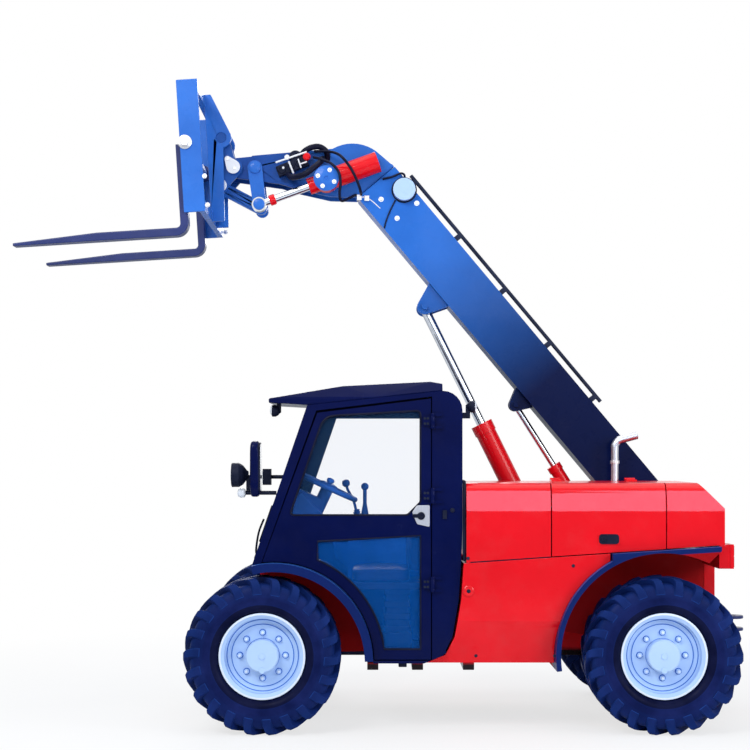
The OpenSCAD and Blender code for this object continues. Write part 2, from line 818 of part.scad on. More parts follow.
module control_console() {
  color("black") {
    block([console_x[0], cab_inner + cab_wall, cab_floor_z + cab_wall],
          [console_x[1], console_side, console_z]);
    translate([console_x[1] - lever_l / 2, (cab_inner + cab_wall + console_side) / 2, console_z]) {
      cylinder(h = lever_l, d = lever_d);
      cylinder(h = lever_l / 2, d1 = lever_foot * lever_d, d2 = lever_d);
      translate([0, 0, lever_l]) sphere(d = 2 * lever_d);
    }
  }
}

// Hood, boxes and fenders

hood_front_gap = 20;
hood_front_x = -cab_back - hood_front_gap;
hood_door_fwd = 599;
hood_door_x = rear_x + hood_door_fwd;
hood_back_x = rear_face_x + outrigger_w - hood_t;
hood_inner = frame_out_left;
spine_w = 80;
hood_chamfer = 136;
spine_back = hood_back_x + hood_chamfer + hood_t + seam;
spine_z = 1200;
crease_z = 1192;
hood_lean = 15;
hood_round = 60;
hood_low = [920, 1011];

function hood_low_z(x) = hood_low[0]
  + (hood_low[1] - hood_low[0]) * (x - hood_front_x) / (hood_back_x - hood_front_x);

// Outer section of the hood in Y-Z, drawn in by i, from the inner top edge to the lower edge
function hood_section(i, y0) = concat(
  [[y0, hood_z - i]],
  arc([body_side - hood_lean - hood_round, hood_z - hood_round], hood_round - i, 90, 4, 6),
  [[body_side - i, crease_z], [body_side - i, hood_low[0] - over]]
);

function reversed(v) = [for (k = [len(v) - 1 : -1 : 0]) v[k]];

module hood_shell(x0, x1, y0) {
  across(x1, x0) polygon(concat(hood_section(0, y0), reversed(hood_section(hood_t, y0))));
}

// Side outline of the hood: sloping lower edge and chamfered tail
module hood_silhouette(x0, x1) {
  polygon([
    [x0, hood_low_z(x0)], [x0, hood_z], [max(x1, hood_back_x + hood_chamfer), hood_z],
    [x1, hood_z - max(0, hood_back_x + hood_chamfer - x1)], [x1, hood_low_z(x1)]
  ]);
}

module hood_front() {
  color("crimson") {
    intersection() {
      hood_shell(hood_front_x, hood_door_x, hood_inner);
      side(hood_inner, body_side) hood_silhouette(hood_front_x, hood_door_x);
    }
    // Bulkhead behind the cab, standing on the outrigger
    intersection() {
      block([hood_front_x - hood_t, hood_inner, cab_floor_z], [hood_front_x, body_side, hood_z]);
      across(hood_front_x - hood_t, hood_front_x) polygon(concat(
        hood_section(0, hood_inner),
        [[box_inner, hood_low[0] - over], [box_inner, cab_floor_z], [hood_inner, cab_floor_z]]
      ));
    }
    // Fixed spine along the boom, with the exhaust's hole
    difference() {
      union() {
        block([spine_back, hood_inner, hood_z - hood_t], [hood_front_x, hood_inner + spine_w, hood_z]);
        block([spine_back, hood_inner, spine_z], [hood_front_x, hood_inner + hood_t, hood_z]);
      }
      translate([exhaust_x, exhaust_y, spine_z]) cylinder(h = hood_z, d = exhaust_d + 2 * over);
    }
  }
}

hood_hinge_in = 58;
hood_hinge_y = hood_inner + hood_hinge_in;
hood_hinge_d = 18;
hood_strap_w = 60;
hood_strap_end = 90;
hood_hinge_z = hood_z + hood_hinge_d / 2 + lay;
latch = [113, 12, 57];
latch_x = hood_door_x - hood_door_l / 2;
latch_z = 1043;

module hood_door() {
  x0 = hood_door_x - seam;
  x1 = hood_door_x - hood_door_l + seam;
  y0 = hood_inner + spine_w + seam;
  color("crimson") {
    intersection() {
      hood_shell(x0, x1, y0);
      side(hood_inner, body_side) hood_silhouette(x0, x1);
    }
    for (x = [x0 - hood_strap_end, x1 + hood_strap_end]) {
      translate([x, hood_hinge_y, hood_hinge_z]) rotate([0, 90, 0])
        cylinder(h = hood_strap_w, d = hood_hinge_d, center = true);
      block([x - hood_strap_w / 2, hood_hinge_y, hood_z + lay],
            [x + hood_strap_w / 2, y0 + hood_strap_w, hood_z + hood_hinge_d / 2]);
      block([x - hood_strap_w / 2, y0, hood_z - over],
            [x + hood_strap_w / 2, y0 + hood_strap_w, hood_z + over]);
    }
    translate([latch_x - latch[0] / 2, body_side - over, latch_z - latch[2] / 2]) cube(latch);
  }
}

module hood_rear() {
  x0 = hood_door_x - hood_door_l;
  color("crimson") {
    intersection() {
      hood_shell(x0, hood_back_x, hood_inner + spine_w);
      side(hood_inner, body_side) hood_silhouette(x0, hood_back_x);
    }
    // Rear wall, chamfered at the top
    intersection() {
      side(hood_inner, body_side) polygon([
        [hood_back_x, weight_top], [hood_back_x, hood_z - hood_chamfer],
        [hood_back_x + hood_chamfer, hood_z],
        [hood_back_x + hood_chamfer + hood_t, hood_z - hood_t],
        [hood_back_x + hood_t, hood_z - hood_chamfer - hood_t / 2], [hood_back_x + hood_t, weight_top]
      ]);
      across(hood_back_x, hood_back_x + 2 * hood_chamfer)
        polygon(concat(hood_section(0, hood_inner), [[hood_inner, hood_low[0]]]));
    }
  }
}

box_inner = 560;
box_bend_z = 605;
box_bend = 70;
tank_front_x = -600;
tank_top = 900;

// Panel box under the hood: tucked in below, its front edge behind the cab, an arch at the rear
module side_box() {
  color("crimson") difference() {
    box_form(0);
    box_form(hood_t);
  }
}

module box_form(i) {
  intersection() {
    across(rear_x, 0) polygon([
      [box_inner - i, cab_floor_z + i], [body_side - box_bend - i, cab_floor_z + i],
      [body_side - i, box_bend_z], [body_side - i, hood_low[1]], [box_inner - i, hood_low[1]]
    ]);
    side(box_inner - i, body_side) difference() {
      polygon(concat(
        [[fender_top_x + seam + i, cab_floor_z],
         [fender_top_x + seam + i, hood_low_z(fender_top_x) - seam - i]],
        [[-cab_back - seam - i, hood_low_z(-cab_back) - seam - i]],
        [for (t = tuck_shares)
          [-cab_back - 2 * seam - i + cab_toe * t[0], cab_floor_z + (cab_waist_z - cab_floor_z) * t[1]]]
      ));
      translate(rear_arch_c) circle(r = rear_arch_r + rear_lip + i, $fn = 96);
    }
  }
}

// Hollow tank on the right between the wheels
module right_tank() {
  color("crimson") difference() {
    tank_form(0);
    tank_form(hood_t);
  }
}

module tank_form(i) {
  intersection() {
    across(rear_x, tank_front_x - i) polygon([
      [frame_out_right + i, cab_floor_z + i], [-body_side + box_bend + i, cab_floor_z + i],
      [-body_side + i, box_bend_z], [-body_side + i, tank_top - box_bend - i],
      [-body_side + box_bend + i, tank_top - i], [frame_out_right + i, tank_top - i]
    ]);
    mirror([0, 1, 0]) side(-frame_out_right - i, body_side) difference() {
      translate([rear_x, cab_floor_z]) square([wheelbase, hood_z - cab_floor_z]);
      translate(rear_arch_c) circle(r = rear_arch_r + rear_lip + i, $fn = 96);
    }
  }
}

right_hood_z = [1011, 1190];
right_hood_fwd = 500;
right_hood_x = rear_x + right_hood_fwd;

module right_hood() {
  color("crimson") difference() {
    right_hood_form(0);
    right_hood_form(hood_t);
  }
}

module right_hood_form(i) {
  intersection() {
    block([hood_back_x + i, -body_side + i, right_hood_z[0] + i],
          [right_hood_x - i, frame_out_right + i, right_hood_z[1] - i]);
    mirror([0, 1, 0]) side(-frame_out_right - i, body_side) polygon([
      [hood_back_x, right_hood_z[0]], [hood_back_x, right_hood_z[1] - hood_chamfer / 2 - i],
      [hood_back_x + hood_chamfer / 2 + i, right_hood_z[1]], [right_hood_x, right_hood_z[1]],
      [right_hood_x + i, right_hood_z[0]]
    ]);
  }
}

lip_in = 660;
fender_top_x = rear_x + rear_arch_r / 2;
fender_back_x = rear_face_x + outrigger_w + seam;
stay_t = 30;
stay_top = arch_c[1] + arch_r + stay_t;

// Ring sector outline about c
module ring(c, r0, r1, a0, a1) {
  polygon(concat(arc(c, r0, a0, a1, 24), arc(c, r1, a1, a0, 24)));
}

// Rear fender strip: along the arch, then along the hood's lower edge to the tail
module rear_fender_outline() {
  difference() {
    intersection() {
      union() {
        ring(rear_arch_c, rear_arch_r, rear_arch_r + rear_lip - lay, -8, 90);
        polygon([
          [fender_top_x, hood_low_z(fender_top_x)], [fender_back_x, hood_low_z(fender_back_x)],
          [fender_back_x, hood_low_z(fender_back_x) - rear_lip], [fender_top_x, axle_z]
        ]);
      }
      polygon([
        [hood_door_x, 0], [hood_door_x, hood_low_z(hood_door_x) - seam],
        [fender_back_x, hood_low_z(fender_back_x) - seam], [fender_back_x, 0]
      ]);
    }
    translate(rear_arch_c) circle(r = rear_arch_r, $fn = 96);
  }
}

module fenders() {
  color("midnightblue") {
    side(lip_in, lip_out) ring(arch_c, arch_r, arch_edge_r - lay, arch_turn[0], arch_turn[1]);
    side(lip_in, lip_out) rear_fender_outline();
    mirror([0, 1, 0]) side(lip_in, lip_out) rear_fender_outline();
    // Right front mudguard on its stay from the frame
    mirror([0, 1, 0]) side(lip_in, lip_out) ring(arch_c, arch_r, arch_r + stay_t, arch_turn[0], guard_end);
    block([-arch_back - stay_t, -lip_in - over, arch_c[1] + arch_r],
          [-arch_back + stay_t, frame_out_right, stay_top]);
    block([-arch_back - stay_t, frame_out_right - stay_t, waist_top - 2 * stay_t],
          [-arch_back + stay_t, frame_out_right, stay_top]);
  }
}

// Inner faces of the wheel arches: a wall and a band up to the fender
liner_in = 352;
liner_t = 20;
liner_skin = 6;
liner_low_r = 330;
liner_turn = [10, 170];

module rear_liner() {
  side(liner_in, lip_in) rear_fender_outline();
  side(liner_in, liner_in + liner_t) intersection() {
    ring(rear_arch_c, liner_low_r, rear_arch_r + over, liner_turn[0], liner_turn[1]);
    translate([fender_back_x, 0]) square([2 * rear_arch_r, hood_z]);
  }
}

module wheel_liners() {
  color("maroon") {
    side(footwell_side + lay, lip_in)
      ring(arch_c, arch_edge_r - liner_t, arch_edge_r - lay, arch_turn[0], arch_turn[1]);
    side(footwell_side + lay, footwell_side + liner_skin)
      ring(arch_c, liner_low_r, arch_edge_r - lay, arch_turn[0], arch_turn[1]);
    rear_liner();
    mirror([0, 1, 0]) rear_liner();
  }
}

exhaust_fwd = 158;
exhaust_in = 48;
exhaust_x = rear_x + exhaust_fwd;
exhaust_y = hood_inner + exhaust_in;
exhaust_z = 1535;
exhaust_bend = 45;
exhaust_turn = 75;
exhaust_tip = 100;
exhaust_sleeve = 1;

// Upright pipe and tip that end inside a slightly thicker bend
module exhaust() {
  foot = engine_z + engine_box[2];
  l = 2 * exhaust_sleeve;
  color("silver") {
    translate([exhaust_x, exhaust_y, foot]) cylinder(h = exhaust_z - foot + l, d = exhaust_d);
    translate([exhaust_x - exhaust_bend, exhaust_y, exhaust_z]) rotate([90, 0, 0])
      rotate_extrude(angle = exhaust_turn) translate([exhaust_bend, 0])
        circle(d = exhaust_d + 2 * exhaust_sleeve);
    translate([
      exhaust_x - exhaust_bend + exhaust_bend * cos(exhaust_turn), exhaust_y,
      exhaust_z + exhaust_bend * sin(exhaust_turn)
    ]) rotate([0, -exhaust_turn, 0]) translate([0, 0, -l]) cylinder(h = exhaust_tip, d = exhaust_d);
  }
}

mirror_arm_d = 22;
mirror_z = 1289;
mirror_size = [35, 140, 268];
mirror_round = 30;
mirror_out = 85;
arm_out = 165;
pillar_lamp = [48, 70, 92];
pillar_lamp_z = 1365;
pillar_arm = 95;

// Front face of the windscreen pillars at height z
function pillar_x(z) = cab_front_x - (z - screen_foot_z) * cab_slope;

// Outline of a rectangle with round corners
function round_rect(a, b, r) = concat(
  arc([b[0] - r, b[1] - r], r, 0, 90, 5), arc([a[0] + r, b[1] - r], r, 90, 180, 5),
  arc([a[0] + r, a[1] + r], r, 180, 270, 5), arc([b[0] - r, a[1] + r], r, 270, 360, 5)
);

// Arm along X from a pillar
module pillar_bar(y, z, l) {
  translate([pillar_x(z) + cab_slope * mirror_arm_d / 2, y, z]) rotate([0, 90, 0])
    cylinder(h = l, d = mirror_arm_d);
}

// Mirror on the left pillar, box lamp on the right one
module mirrors() {
  low = [cab_side - pillar_w, mirror_z + mirror_arm_d / 2 - 2 * over];
  x = pillar_x(pillar_lamp_z) + pillar_arm;
  color("black") {
    pillar_bar(cab_side - pillar_w / 2, mirror_z, arm_out);
    across(pillar_x(mirror_z) + mirror_out, pillar_x(mirror_z) + mirror_out + mirror_size[0])
      polygon(round_rect(low, low + [mirror_size[1], mirror_size[2]], mirror_round));
    pillar_bar(cab_inner + pillar_w / 2, pillar_lamp_z, pillar_arm);
    translate([x, cab_inner, pillar_lamp_z - pillar_lamp[2] / 2]) cube(pillar_lamp);
  }
}

lamp_d = 130;
lamp_l = 85;
lamp_rise = 96;
lamp_arm = 24;
// Shares of a lamp's radius and length, from its back to its lens
lamp_shares = [[0.3, 0], [0.42, 0.12], [0.8, 0.34], [0.94, 0.52], [1, 0.6], [1, 0.93], [0.92, 1]];

// Round lamp that shines along X, its back at the origin
module lamp(d, l) {
  rotate([0, 90, 0]) rotate_extrude()
    polygon(concat([[0, 0]], [for (t = lamp_shares) [t[0] * d / 2, t[1] * l]], [[0, l]]));
}

module head_lamps() {
  x = pillar_x(mirror_z) + arm_out - lamp_arm / 2;
  y = cab_side - pillar_w / 2;
  color("black") {
    translate([x, y, mirror_z + lamp_rise]) lamp(lamp_d, lamp_l);
    block([x - lamp_arm / 2, y - lamp_arm / 2, mirror_z + mirror_arm_d / 2 + lay],
          [x + lamp_arm / 2, y + lamp_arm / 2, mirror_z + lamp_rise]);
    // Right lamp on the mudguard's stay
    translate([-arch_back, -lip_in + lamp_d, stay_top + lamp_d]) lamp(lamp_d, lamp_l);
    block([-arch_back - plate_t, -lip_in + lamp_d - plate_t, stay_top],
          [-arch_back + plate_t, -lip_in + lamp_d + plate_t, stay_top + lamp_d]);
  }
}

tail_lamp_w = 150;

module tail_lamps() {
  color("red") for (s = [-1, 1]) {
    translate([rear_face_x - plate_t, s * (body_side - outrigger_w) - (s > 0 ? tail_lamp_w : 0), bumper_z])
      cube([plate_t, tail_lamp_w, weight_top - bumper_z]);
  }
}

roof_lamp_d = 64;
roof_lamp_l = 50;
roof_lamp_in = 130;
visor_lamp_back = 60;

// Underside of the visor
function visor_under(x) = screen_top[1] + visor_h * (x - screen_top[0]) / (visor_x - screen_top[0]);

// Work lamps: one under the visor, one on an arm behind the cab
module roof_lamps() {
  y = cab_side - roof_lamp_in;
  x0 = visor_x - visor_lamp_back;
  x1 = x0 + lamp_arm;
  z0 = visor_under(x0) - roof_lamp_d / 2 - over;
  z1 = rear_pane_z[1] + roof_lamp_d;
  color("black") {
    translate([x0, y, z0]) lamp(roof_lamp_d, roof_lamp_l);
    side(y - lamp_arm / 2, y + lamp_arm / 2)
      polygon([[x0, z0], [x1, z0], [x1, visor_under(x1) - lay], [x0, visor_under(x0) - lay]]);
    translate([-cab_back - lamp_arm, y, z1]) mirror([1, 0, 0]) lamp(roof_lamp_d, roof_lamp_l);
    block([-cab_back - 2 * lamp_arm, y - lamp_arm / 2, z1 - roof_lamp_d],
          [-cab_back, y + lamp_arm / 2, z1 - roof_lamp_d / 2]);
    block([-cab_back - 2 * lamp_arm, y - lamp_arm / 2, z1 - roof_lamp_d],
          [-cab_back - lamp_arm, y + lamp_arm / 2, z1]);
  }
}

// Boom

lift_pin = [1740, -248];
level_pin = [961, -205];
lift_pin_d = 34;
level_pin_d = 28;
ear_t = 20;
lift_ear_gap = 140;
level_ear_gap = 56;
boss_d = 150;
boom_tail = 150;

// Two ears with stub pins under the boom at a u-v point
module ears(p, gap, pin_d) {
  r = pin_d + ear_t / 2;
  for (s = [-1, 1]) {
    side(s > 0 ? gap / 2 : -gap / 2 - ear_t, s > 0 ? gap / 2 + ear_t : -gap / 2)
      polygon(concat(
        arc(p, r, 200, 340, 12),
        [[p[0] + 2 * r, -boom_h / 2], [p[0] - 2 * r, -boom_h / 2]]
      ));
    bar_y(p, s > 0 ? gap / 2 : -gap / 2 - 2 * ear_t, s > 0 ? gap / 2 + 2 * ear_t : -gap / 2, pin_d);
  }
}

module outer_boom() {
  color("royalblue") in_boom() {
    difference() {
      union() {
        block([-boom_tail, -boom_w / 2, -boom_h / 2], [boom_l, boom_w / 2, boom_h / 2]);
        bar_y([0, 0], -frame_gap / 2 + over, frame_gap / 2 - over, boss_d);
      }
      block([boss_d, -boom_w / 2 + boom_wall, -boom_h / 2 + boom_wall],
            [boom_l + over, boom_w / 2 - boom_wall, boom_h / 2 - boom_wall]);
      bar_y([0, 0], -frame_gap, frame_gap, pivot_pin_d + 2 * fit);
    }
    ears(lift_pin, lift_ear_gap, lift_pin_d);
    ears(level_pin, level_ear_gap, level_pin_d);
  }
}

pipe_d = 22;
pipe_rise = 45;
pipe_start = 657;
pipe_short = 93;
pipe_u = [pipe_start, boom_l - pipe_short];
pipe_clip = 30;

module boom_pipe() {
  top = boom_h / 2;
  color("silver") in_boom() {
    translate([pipe_u[0], boom_w / 4, top + pipe_rise]) rotate([0, 90, 0])
      cylinder(h = pipe_u[1] - pipe_u[0], d = pipe_d);
    for (k = [0 : 4]) {
      translate([pipe_u[0] + pipe_clip + k * (pipe_u[1] - pipe_u[0] - 3 * pipe_clip) / 4,
                 boom_w / 4 - pipe_d / 2, top])
        cube([pipe_clip, pipe_d, pipe_rise]);
    }
  }
}

drum_back = 139;
drum_v = 94;
drum_c = [boom_l - drum_back, drum_v];
drum_d = 128;
drum_w = 50;

module boom_drum() {
  color("lightsteelblue") in_boom() bar_y(drum_c, boom_w / 2, boom_w / 2 + drum_w, drum_d);
}

inner_w = boom_w - 2 * boom_wall - 2 * slide_gap;
inner_h = boom_h - 2 * boom_wall - 2 * slide_gap;
inner_back = boss_d + inner_gap;
pad_l = 160;
pad_w = 120;

module inner_boom() {
  color("royalblue") in_boom() {
    difference() {
      block([inner_back, -inner_w / 2, -inner_h / 2], [boom_l + seam, inner_w / 2, inner_h / 2]);
      block([inner_back - over, -inner_w / 2 + boom_wall, -inner_h / 2 + boom_wall],
            [boom_l + seam + over, inner_w / 2 - boom_wall, inner_h / 2 - boom_wall]);
    }
    // Wear pads at the rear end
    for (s = [-1, 1]) {
      block([inner_back, -pad_w / 2, s > 0 ? inner_h / 2 : -inner_h / 2 - slide_gap + lay],
            [inner_back + pad_l, pad_w / 2, s > 0 ? inner_h / 2 + slide_gap - lay : -inner_h / 2]);
      block([inner_back, s > 0 ? inner_w / 2 : -inner_w / 2 - slide_gap + lay, -pad_w / 2],
            [inner_back + pad_l, s > 0 ? inner_w / 2 + slide_gap - lay : -inner_w / 2, pad_w / 2]);
    }
  }
}

// Head: two side plates with a nose that drops to the carriage pin
head_w = 200;
head_plate = 20;
head_r = 232;
head_turn = [84, 10];
head_fwd = 87;
head_low = 108;
head_c = [boom_l + head_fwd, -head_low];
nose_angle = -60.2;
nose_r = 58;
nose_under = [[145, 105], [250, 140], [350, 190], [520, 262]];
c_pin_d = 50;
rocker_off = [-79, 94.5];
rod_off = [-268.5, -26.5];
link_off = [-32.2, -123.5];
rocker_pin = pin_c + rocker_off;
rod_pin = pin_c + rod_off;
link_pin = pin_c + link_off;
trunnion_fwd = 187;
trunnion_low = 218;
trunnion = [boom_l + trunnion_fwd, -trunnion_low];
trunnion_d = 90;
trunnion_side = 170;
r_pin_d = 44;

// Point on the nose: t back from the carriage pin, n above its line
function nose_pt(t, n) = pin_c + turn([-t, n], nose_angle);

function head_pts(i) = concat(
  [[boom_l + seam + i, -boom_h / 2 + i], [boom_l + seam + i, boom_h / 2 - i]],
  arc(head_c, head_r - i, head_turn[0], head_turn[1], 10),
  arc(pin_c, nose_r - i, nose_angle + 90, nose_angle - 90, 12),
  [for (p = nose_under) nose_pt(p[0], i - p[1])]
);

module boom_head() {
  color("royalblue") in_boom() difference() {
    union() {
      side(head_w / 2 - head_plate, head_w / 2) polygon(head_pts(0));
      side(-head_w / 2, -head_w / 2 + head_plate) polygon(head_pts(0));
      // Wrapper over the rounded top and along the nose's upper edge
      side(-head_w / 2, head_w / 2) polygon(concat(
        [[boom_l + seam, boom_h / 2]], arc(head_c, head_r, head_turn[0], head_turn[1], 10),
        [nose_pt(nose_r * 2, nose_r - over)],
        [nose_pt(nose_r * 2, nose_r - over - head_plate)],
        arc(head_c, head_r - head_plate, head_turn[1], head_turn[0], 10),
        [[boom_l + seam, boom_h / 2 - head_plate]]
      ));
      // Back plate against the inner boom
      block([boom_l + seam, -head_w / 2, -boom_h / 2],
            [boom_l + seam + head_plate, head_w / 2, boom_h / 2]);
      // Trunnion boss on the left plate
      bar_y(trunnion, head_w / 2 - head_plate, head_w / 2 + over, trunnion_d);
    }
    bar_y(pin_c, -head_w, head_w, c_pin_d + 2 * fit);
    bar_y(rocker_pin, -head_w, head_w, r_pin_d + 2 * fit);
    bar_y(trunnion, 0, head_w, trunnion_d / 2 + 2 * fit);
  }
}

coupler = [190, 60, 62];
coupler_off = [-216, 266];
coupler_turn = 71.4;
coupler_c = pin_c + coupler_off;

module aux_coupler() {
  color("black") in_boom() translate([coupler_c[0], head_w / 2, coupler_c[1]]) rotate([0, coupler_turn, 0])
    translate([-coupler[0] / 2, 0, -coupler[2] / 2]) cube(coupler);
}

barrel_start = 0.8;
bore_start = 1.2;

// A cylinder's barrel from its base eye at the origin along local X
module barrel(d, rod_d, l, eye_r, eye_w, eye_bore) {
  difference() {
    union() {
      translate([eye_r * barrel_start, 0, 0]) rotate([0, 90, 0])
        cylinder(h = l - eye_r * barrel_start, d = d);
      translate([l - d / 2, 0, 0]) rotate([0, 90, 0]) cylinder(h = d / 2, d = d + ear_t / 2);
      rotate([90, 0, 0]) cylinder(h = eye_w, r = eye_r, center = true);
    }
    rotate([90, 0, 0]) cylinder(h = 2 * eye_w, d = eye_bore + 2 * fit, center = true);
    translate([eye_r * bore_start, 0, 0]) rotate([0, 90, 0]) cylinder(h = l, d = rod_d + 2 * fit);
  }
}

// A rod with its eye at the origin, reaching back along local -X
module rod(d, l, eye_r, eye_w, eye_bore) {
  difference() {
    union() {
      translate([-l, 0, 0]) rotate([0, 90, 0]) cylinder(h = l, d = d);
      rotate([90, 0, 0]) cylinder(h = eye_w, r = eye_r, center = true);
    }
    rotate([90, 0, 0]) cylinder(h = 2 * eye_w, d = eye_bore + 2 * fit, center = true);
  }
}

lift_top = boom_pt(lift_pin);
level_top = boom_pt(level_pin);
lift_l = norm(lift_top - lift_base);
level_l = norm(level_top - level_base);
lift_a = atan2(lift_top[1] - lift_base[1], lift_top[0] - lift_base[0]);
level_a = atan2(level_top[1] - level_base[1], level_top[0] - level_base[0]);
lift_barrel_l = 1400;
lift_rod_l = 1310;
level_barrel_l = 745;
level_rod_l = 700;
lift_eye = [55, 28];
level_eye = [40, 24];
lift_eye_w = 60;
level_eye_w = 46;

module lift_barrel() {
  color("crimson") translate([lift_base[0], boom_y, lift_base[1]]) rotate([0, -lift_a, 0])
    barrel(lift_barrel_d, lift_rod_d, lift_barrel_l, lift_eye[0], lift_eye_w, lift_base_pin_d);
}

module lift_rod() {
  color("silver") translate([lift_top[0], boom_y, lift_top[1]]) rotate([0, -lift_a, 0])
    rod(lift_rod_d, lift_rod_l, lift_eye[1], lift_eye_w, lift_pin_d);
}

module level_barrel() {
  color("crimson") translate([level_base[0], boom_y, level_base[1]]) rotate([0, -level_a, 0])
    barrel(level_barrel_d, level_rod_d, level_barrel_l, level_eye[0], level_eye_w, level_base_pin_d);
}

module level_rod() {
  color("silver") translate([level_top[0], boom_y, level_top[1]]) rotate([0, -level_a, 0])
    rod(level_rod_d, level_rod_l, level_eye[1], level_eye_w, level_pin_d);
}

tilt_a = atan2(rod_pin[1] - trunnion[1], rod_pin[0] - trunnion[0]);
tilt_l = norm(rod_pin - trunnion);
tilt_back = 315;
tilt_front = 110;
tilt_gland_d = 95;
tilt_rod_l = 560;
tilt_eye_r = 42;
tilt_eye_w = 50;
cap_d = 146;
cap_t = 20;

module tilt_barrel() {
  color("crimson") in_boom() translate([trunnion[0], 0, trunnion[1]]) rotate([0, -tilt_a, 0]) {
    translate([0, trunnion_side, 0]) difference() {
      union() {
        translate([-tilt_back, 0, 0]) rotate([0, 90, 0]) cylinder(h = tilt_back, d = tilt_barrel_d);
        rotate([0, 90, 0]) cylinder(h = tilt_front, d = tilt_gland_d);
        rotate([-90, 0, 0]) cylinder(h = tilt_barrel_d / 2 + cap_t, d = cap_d);
      }
      translate([-tilt_back + cap_t, 0, 0]) rotate([0, 90, 0])
        cylinder(h = 2 * tilt_back, d = tilt_rod_d + 2 * fit);
    }
    bar_y([0, 0], head_w / 2 - head_plate + over, trunnion_side - tilt_barrel_d / 2 + over, trunnion_d / 2);
    bar_y([0, 0], head_w / 2 + over + lay, trunnion_side - tilt_barrel_d / 2 + over, trunnion_d);
  }
}

module tilt_rod() {
  color("silver") in_boom() translate([rod_pin[0], trunnion_side, rod_pin[1]]) rotate([0, -tilt_a, 0])
    rod(tilt_rod_d, tilt_rod_l, tilt_eye_r, tilt_eye_w, rod_pin_d);
}

rod_pin_d = 40;
rocker_gap = 6;
rocker_t = 18;
rocker_r = [42, 38];
link_w = 50;
link_r = 36;

// Rocker: two plates outside the head, joined by the pivot pin and the rod pin
module rocker() {
  y = head_w / 2 + rocker_gap;
  color("darkslategray") in_boom() {
    for (s = [-1, 1]) {
      side(s > 0 ? y : -y - rocker_t, s > 0 ? y + rocker_t : -y)
        polygon(bar_pts(rocker_pin, rod_pin, rocker_r[0], rocker_r[1]));
    }
    bar_y(rocker_pin, -y - rocker_t, y + rocker_t, r_pin_d);
    bar_y(rod_pin, -y - rocker_t, trunnion_side - tilt_eye_w / 2 - rocker_gap, rod_pin_d);
  }
}

module tilt_link() {
  color("darkslategray") in_boom() difference() {
    side(-link_w / 2, link_w / 2) polygon(bar_pts(rod_pin, link_pin, link_r, link_r));
    bar_y(rod_pin, -link_w, link_w, rod_pin_d + 2 * fit);
    bar_y(link_pin, -link_w, link_w, c_pin_d);
  }
}

// Hitch and forks, placed from the carriage pin

hook_pin = [60, 172];
hook_d = 60;
hook_share = 0.75;
ear_y = head_w / 2 + rocker_gap;
hitch_ear_t = 22;
hitch_boss_r = 52;
link_boss_r = 46;
hitch_foot = [130, -250];
link_hole = turn(boom_pt(link_pin) - carriage_pt, carriage_lean);
carriage_back = 139;
carriage_low = -310;

module hitch() {
  color("darkslategray") in_carriage() {
    for (s = [-1, 1]) {
      side(s > 0 ? ear_y : -ear_y - hitch_ear_t, s > 0 ? ear_y + hitch_ear_t : -ear_y) polygon(concat(
        arc([0, 0], hitch_boss_r, 100, 230, 10),
        arc(link_hole, link_boss_r, 190, 290, 6),
        [hitch_foot + [0, -nose_r], [carriage_back, hitch_foot[1] - nose_r],
         [carriage_back, hook_pin[1] - hook_d]],
        arc(hook_pin, hook_d * hook_share, 0, 150, 8)
      ));
      bar_y(link_hole, s > 0 ? link_w / 2 + rocker_gap : -ear_y - hitch_ear_t,
            s > 0 ? ear_y + hitch_ear_t : -link_w / 2 - rocker_gap, c_pin_d - 2 * over);
    }
    bar_y([0, 0], -ear_y - 2 * hitch_ear_t, ear_y + 2 * hitch_ear_t, c_pin_d);
    bar_y(hook_pin, -ear_y - 2 * hitch_ear_t, ear_y + 2 * hitch_ear_t, hook_d);
  }
}

rail_h = 70;
post_t = 20;
shaft_d = 50;
shaft_p = [228, 78];
gusset_t = 20;
gusset_gap = 8;
gusset_y = ear_y + hitch_ear_t + gusset_gap;

module fork_carriage() {
  hw = carriage_w / 2;
  top = carriage_low + carriage_h;
  color("darkslategray") in_carriage() {
    // Side plates, rails and the shaft that the forks hang from
    for (s = [-1, 1]) {
      block([carriage_back, s > 0 ? hw - post_t : -hw, carriage_low],
            [carriage_back + carriage_d, s > 0 ? hw : -hw + post_t, top]);
    }
    for (z = [carriage_low, top - rail_h]) {
      block([carriage_back, -hw, z], [carriage_back + rail_h / 2, hw, z + rail_h]);
    }
    bar_y(shaft_p, -hw, hw, shaft_d);
    // Gussets that hook over the hitch's top bar
    for (s = [-1, 1]) {
      side(s > 0 ? gusset_y : -gusset_y - gusset_t, s > 0 ? gusset_y + gusset_t : -gusset_y) difference() {
        polygon(concat(
          [[carriage_back + over, carriage_low], [carriage_back + over, top],
           [carriage_back - rail_h / 2, top]],
          arc(hook_pin, hook_d, 150, 260, 8),
          [[carriage_back - rail_h, carriage_low]]
        ));
        translate(hook_pin) circle(d = hook_d + 2 * lay);
      }
    }
  }
}

fork_eye_r = 44;
fork_heel = 72;

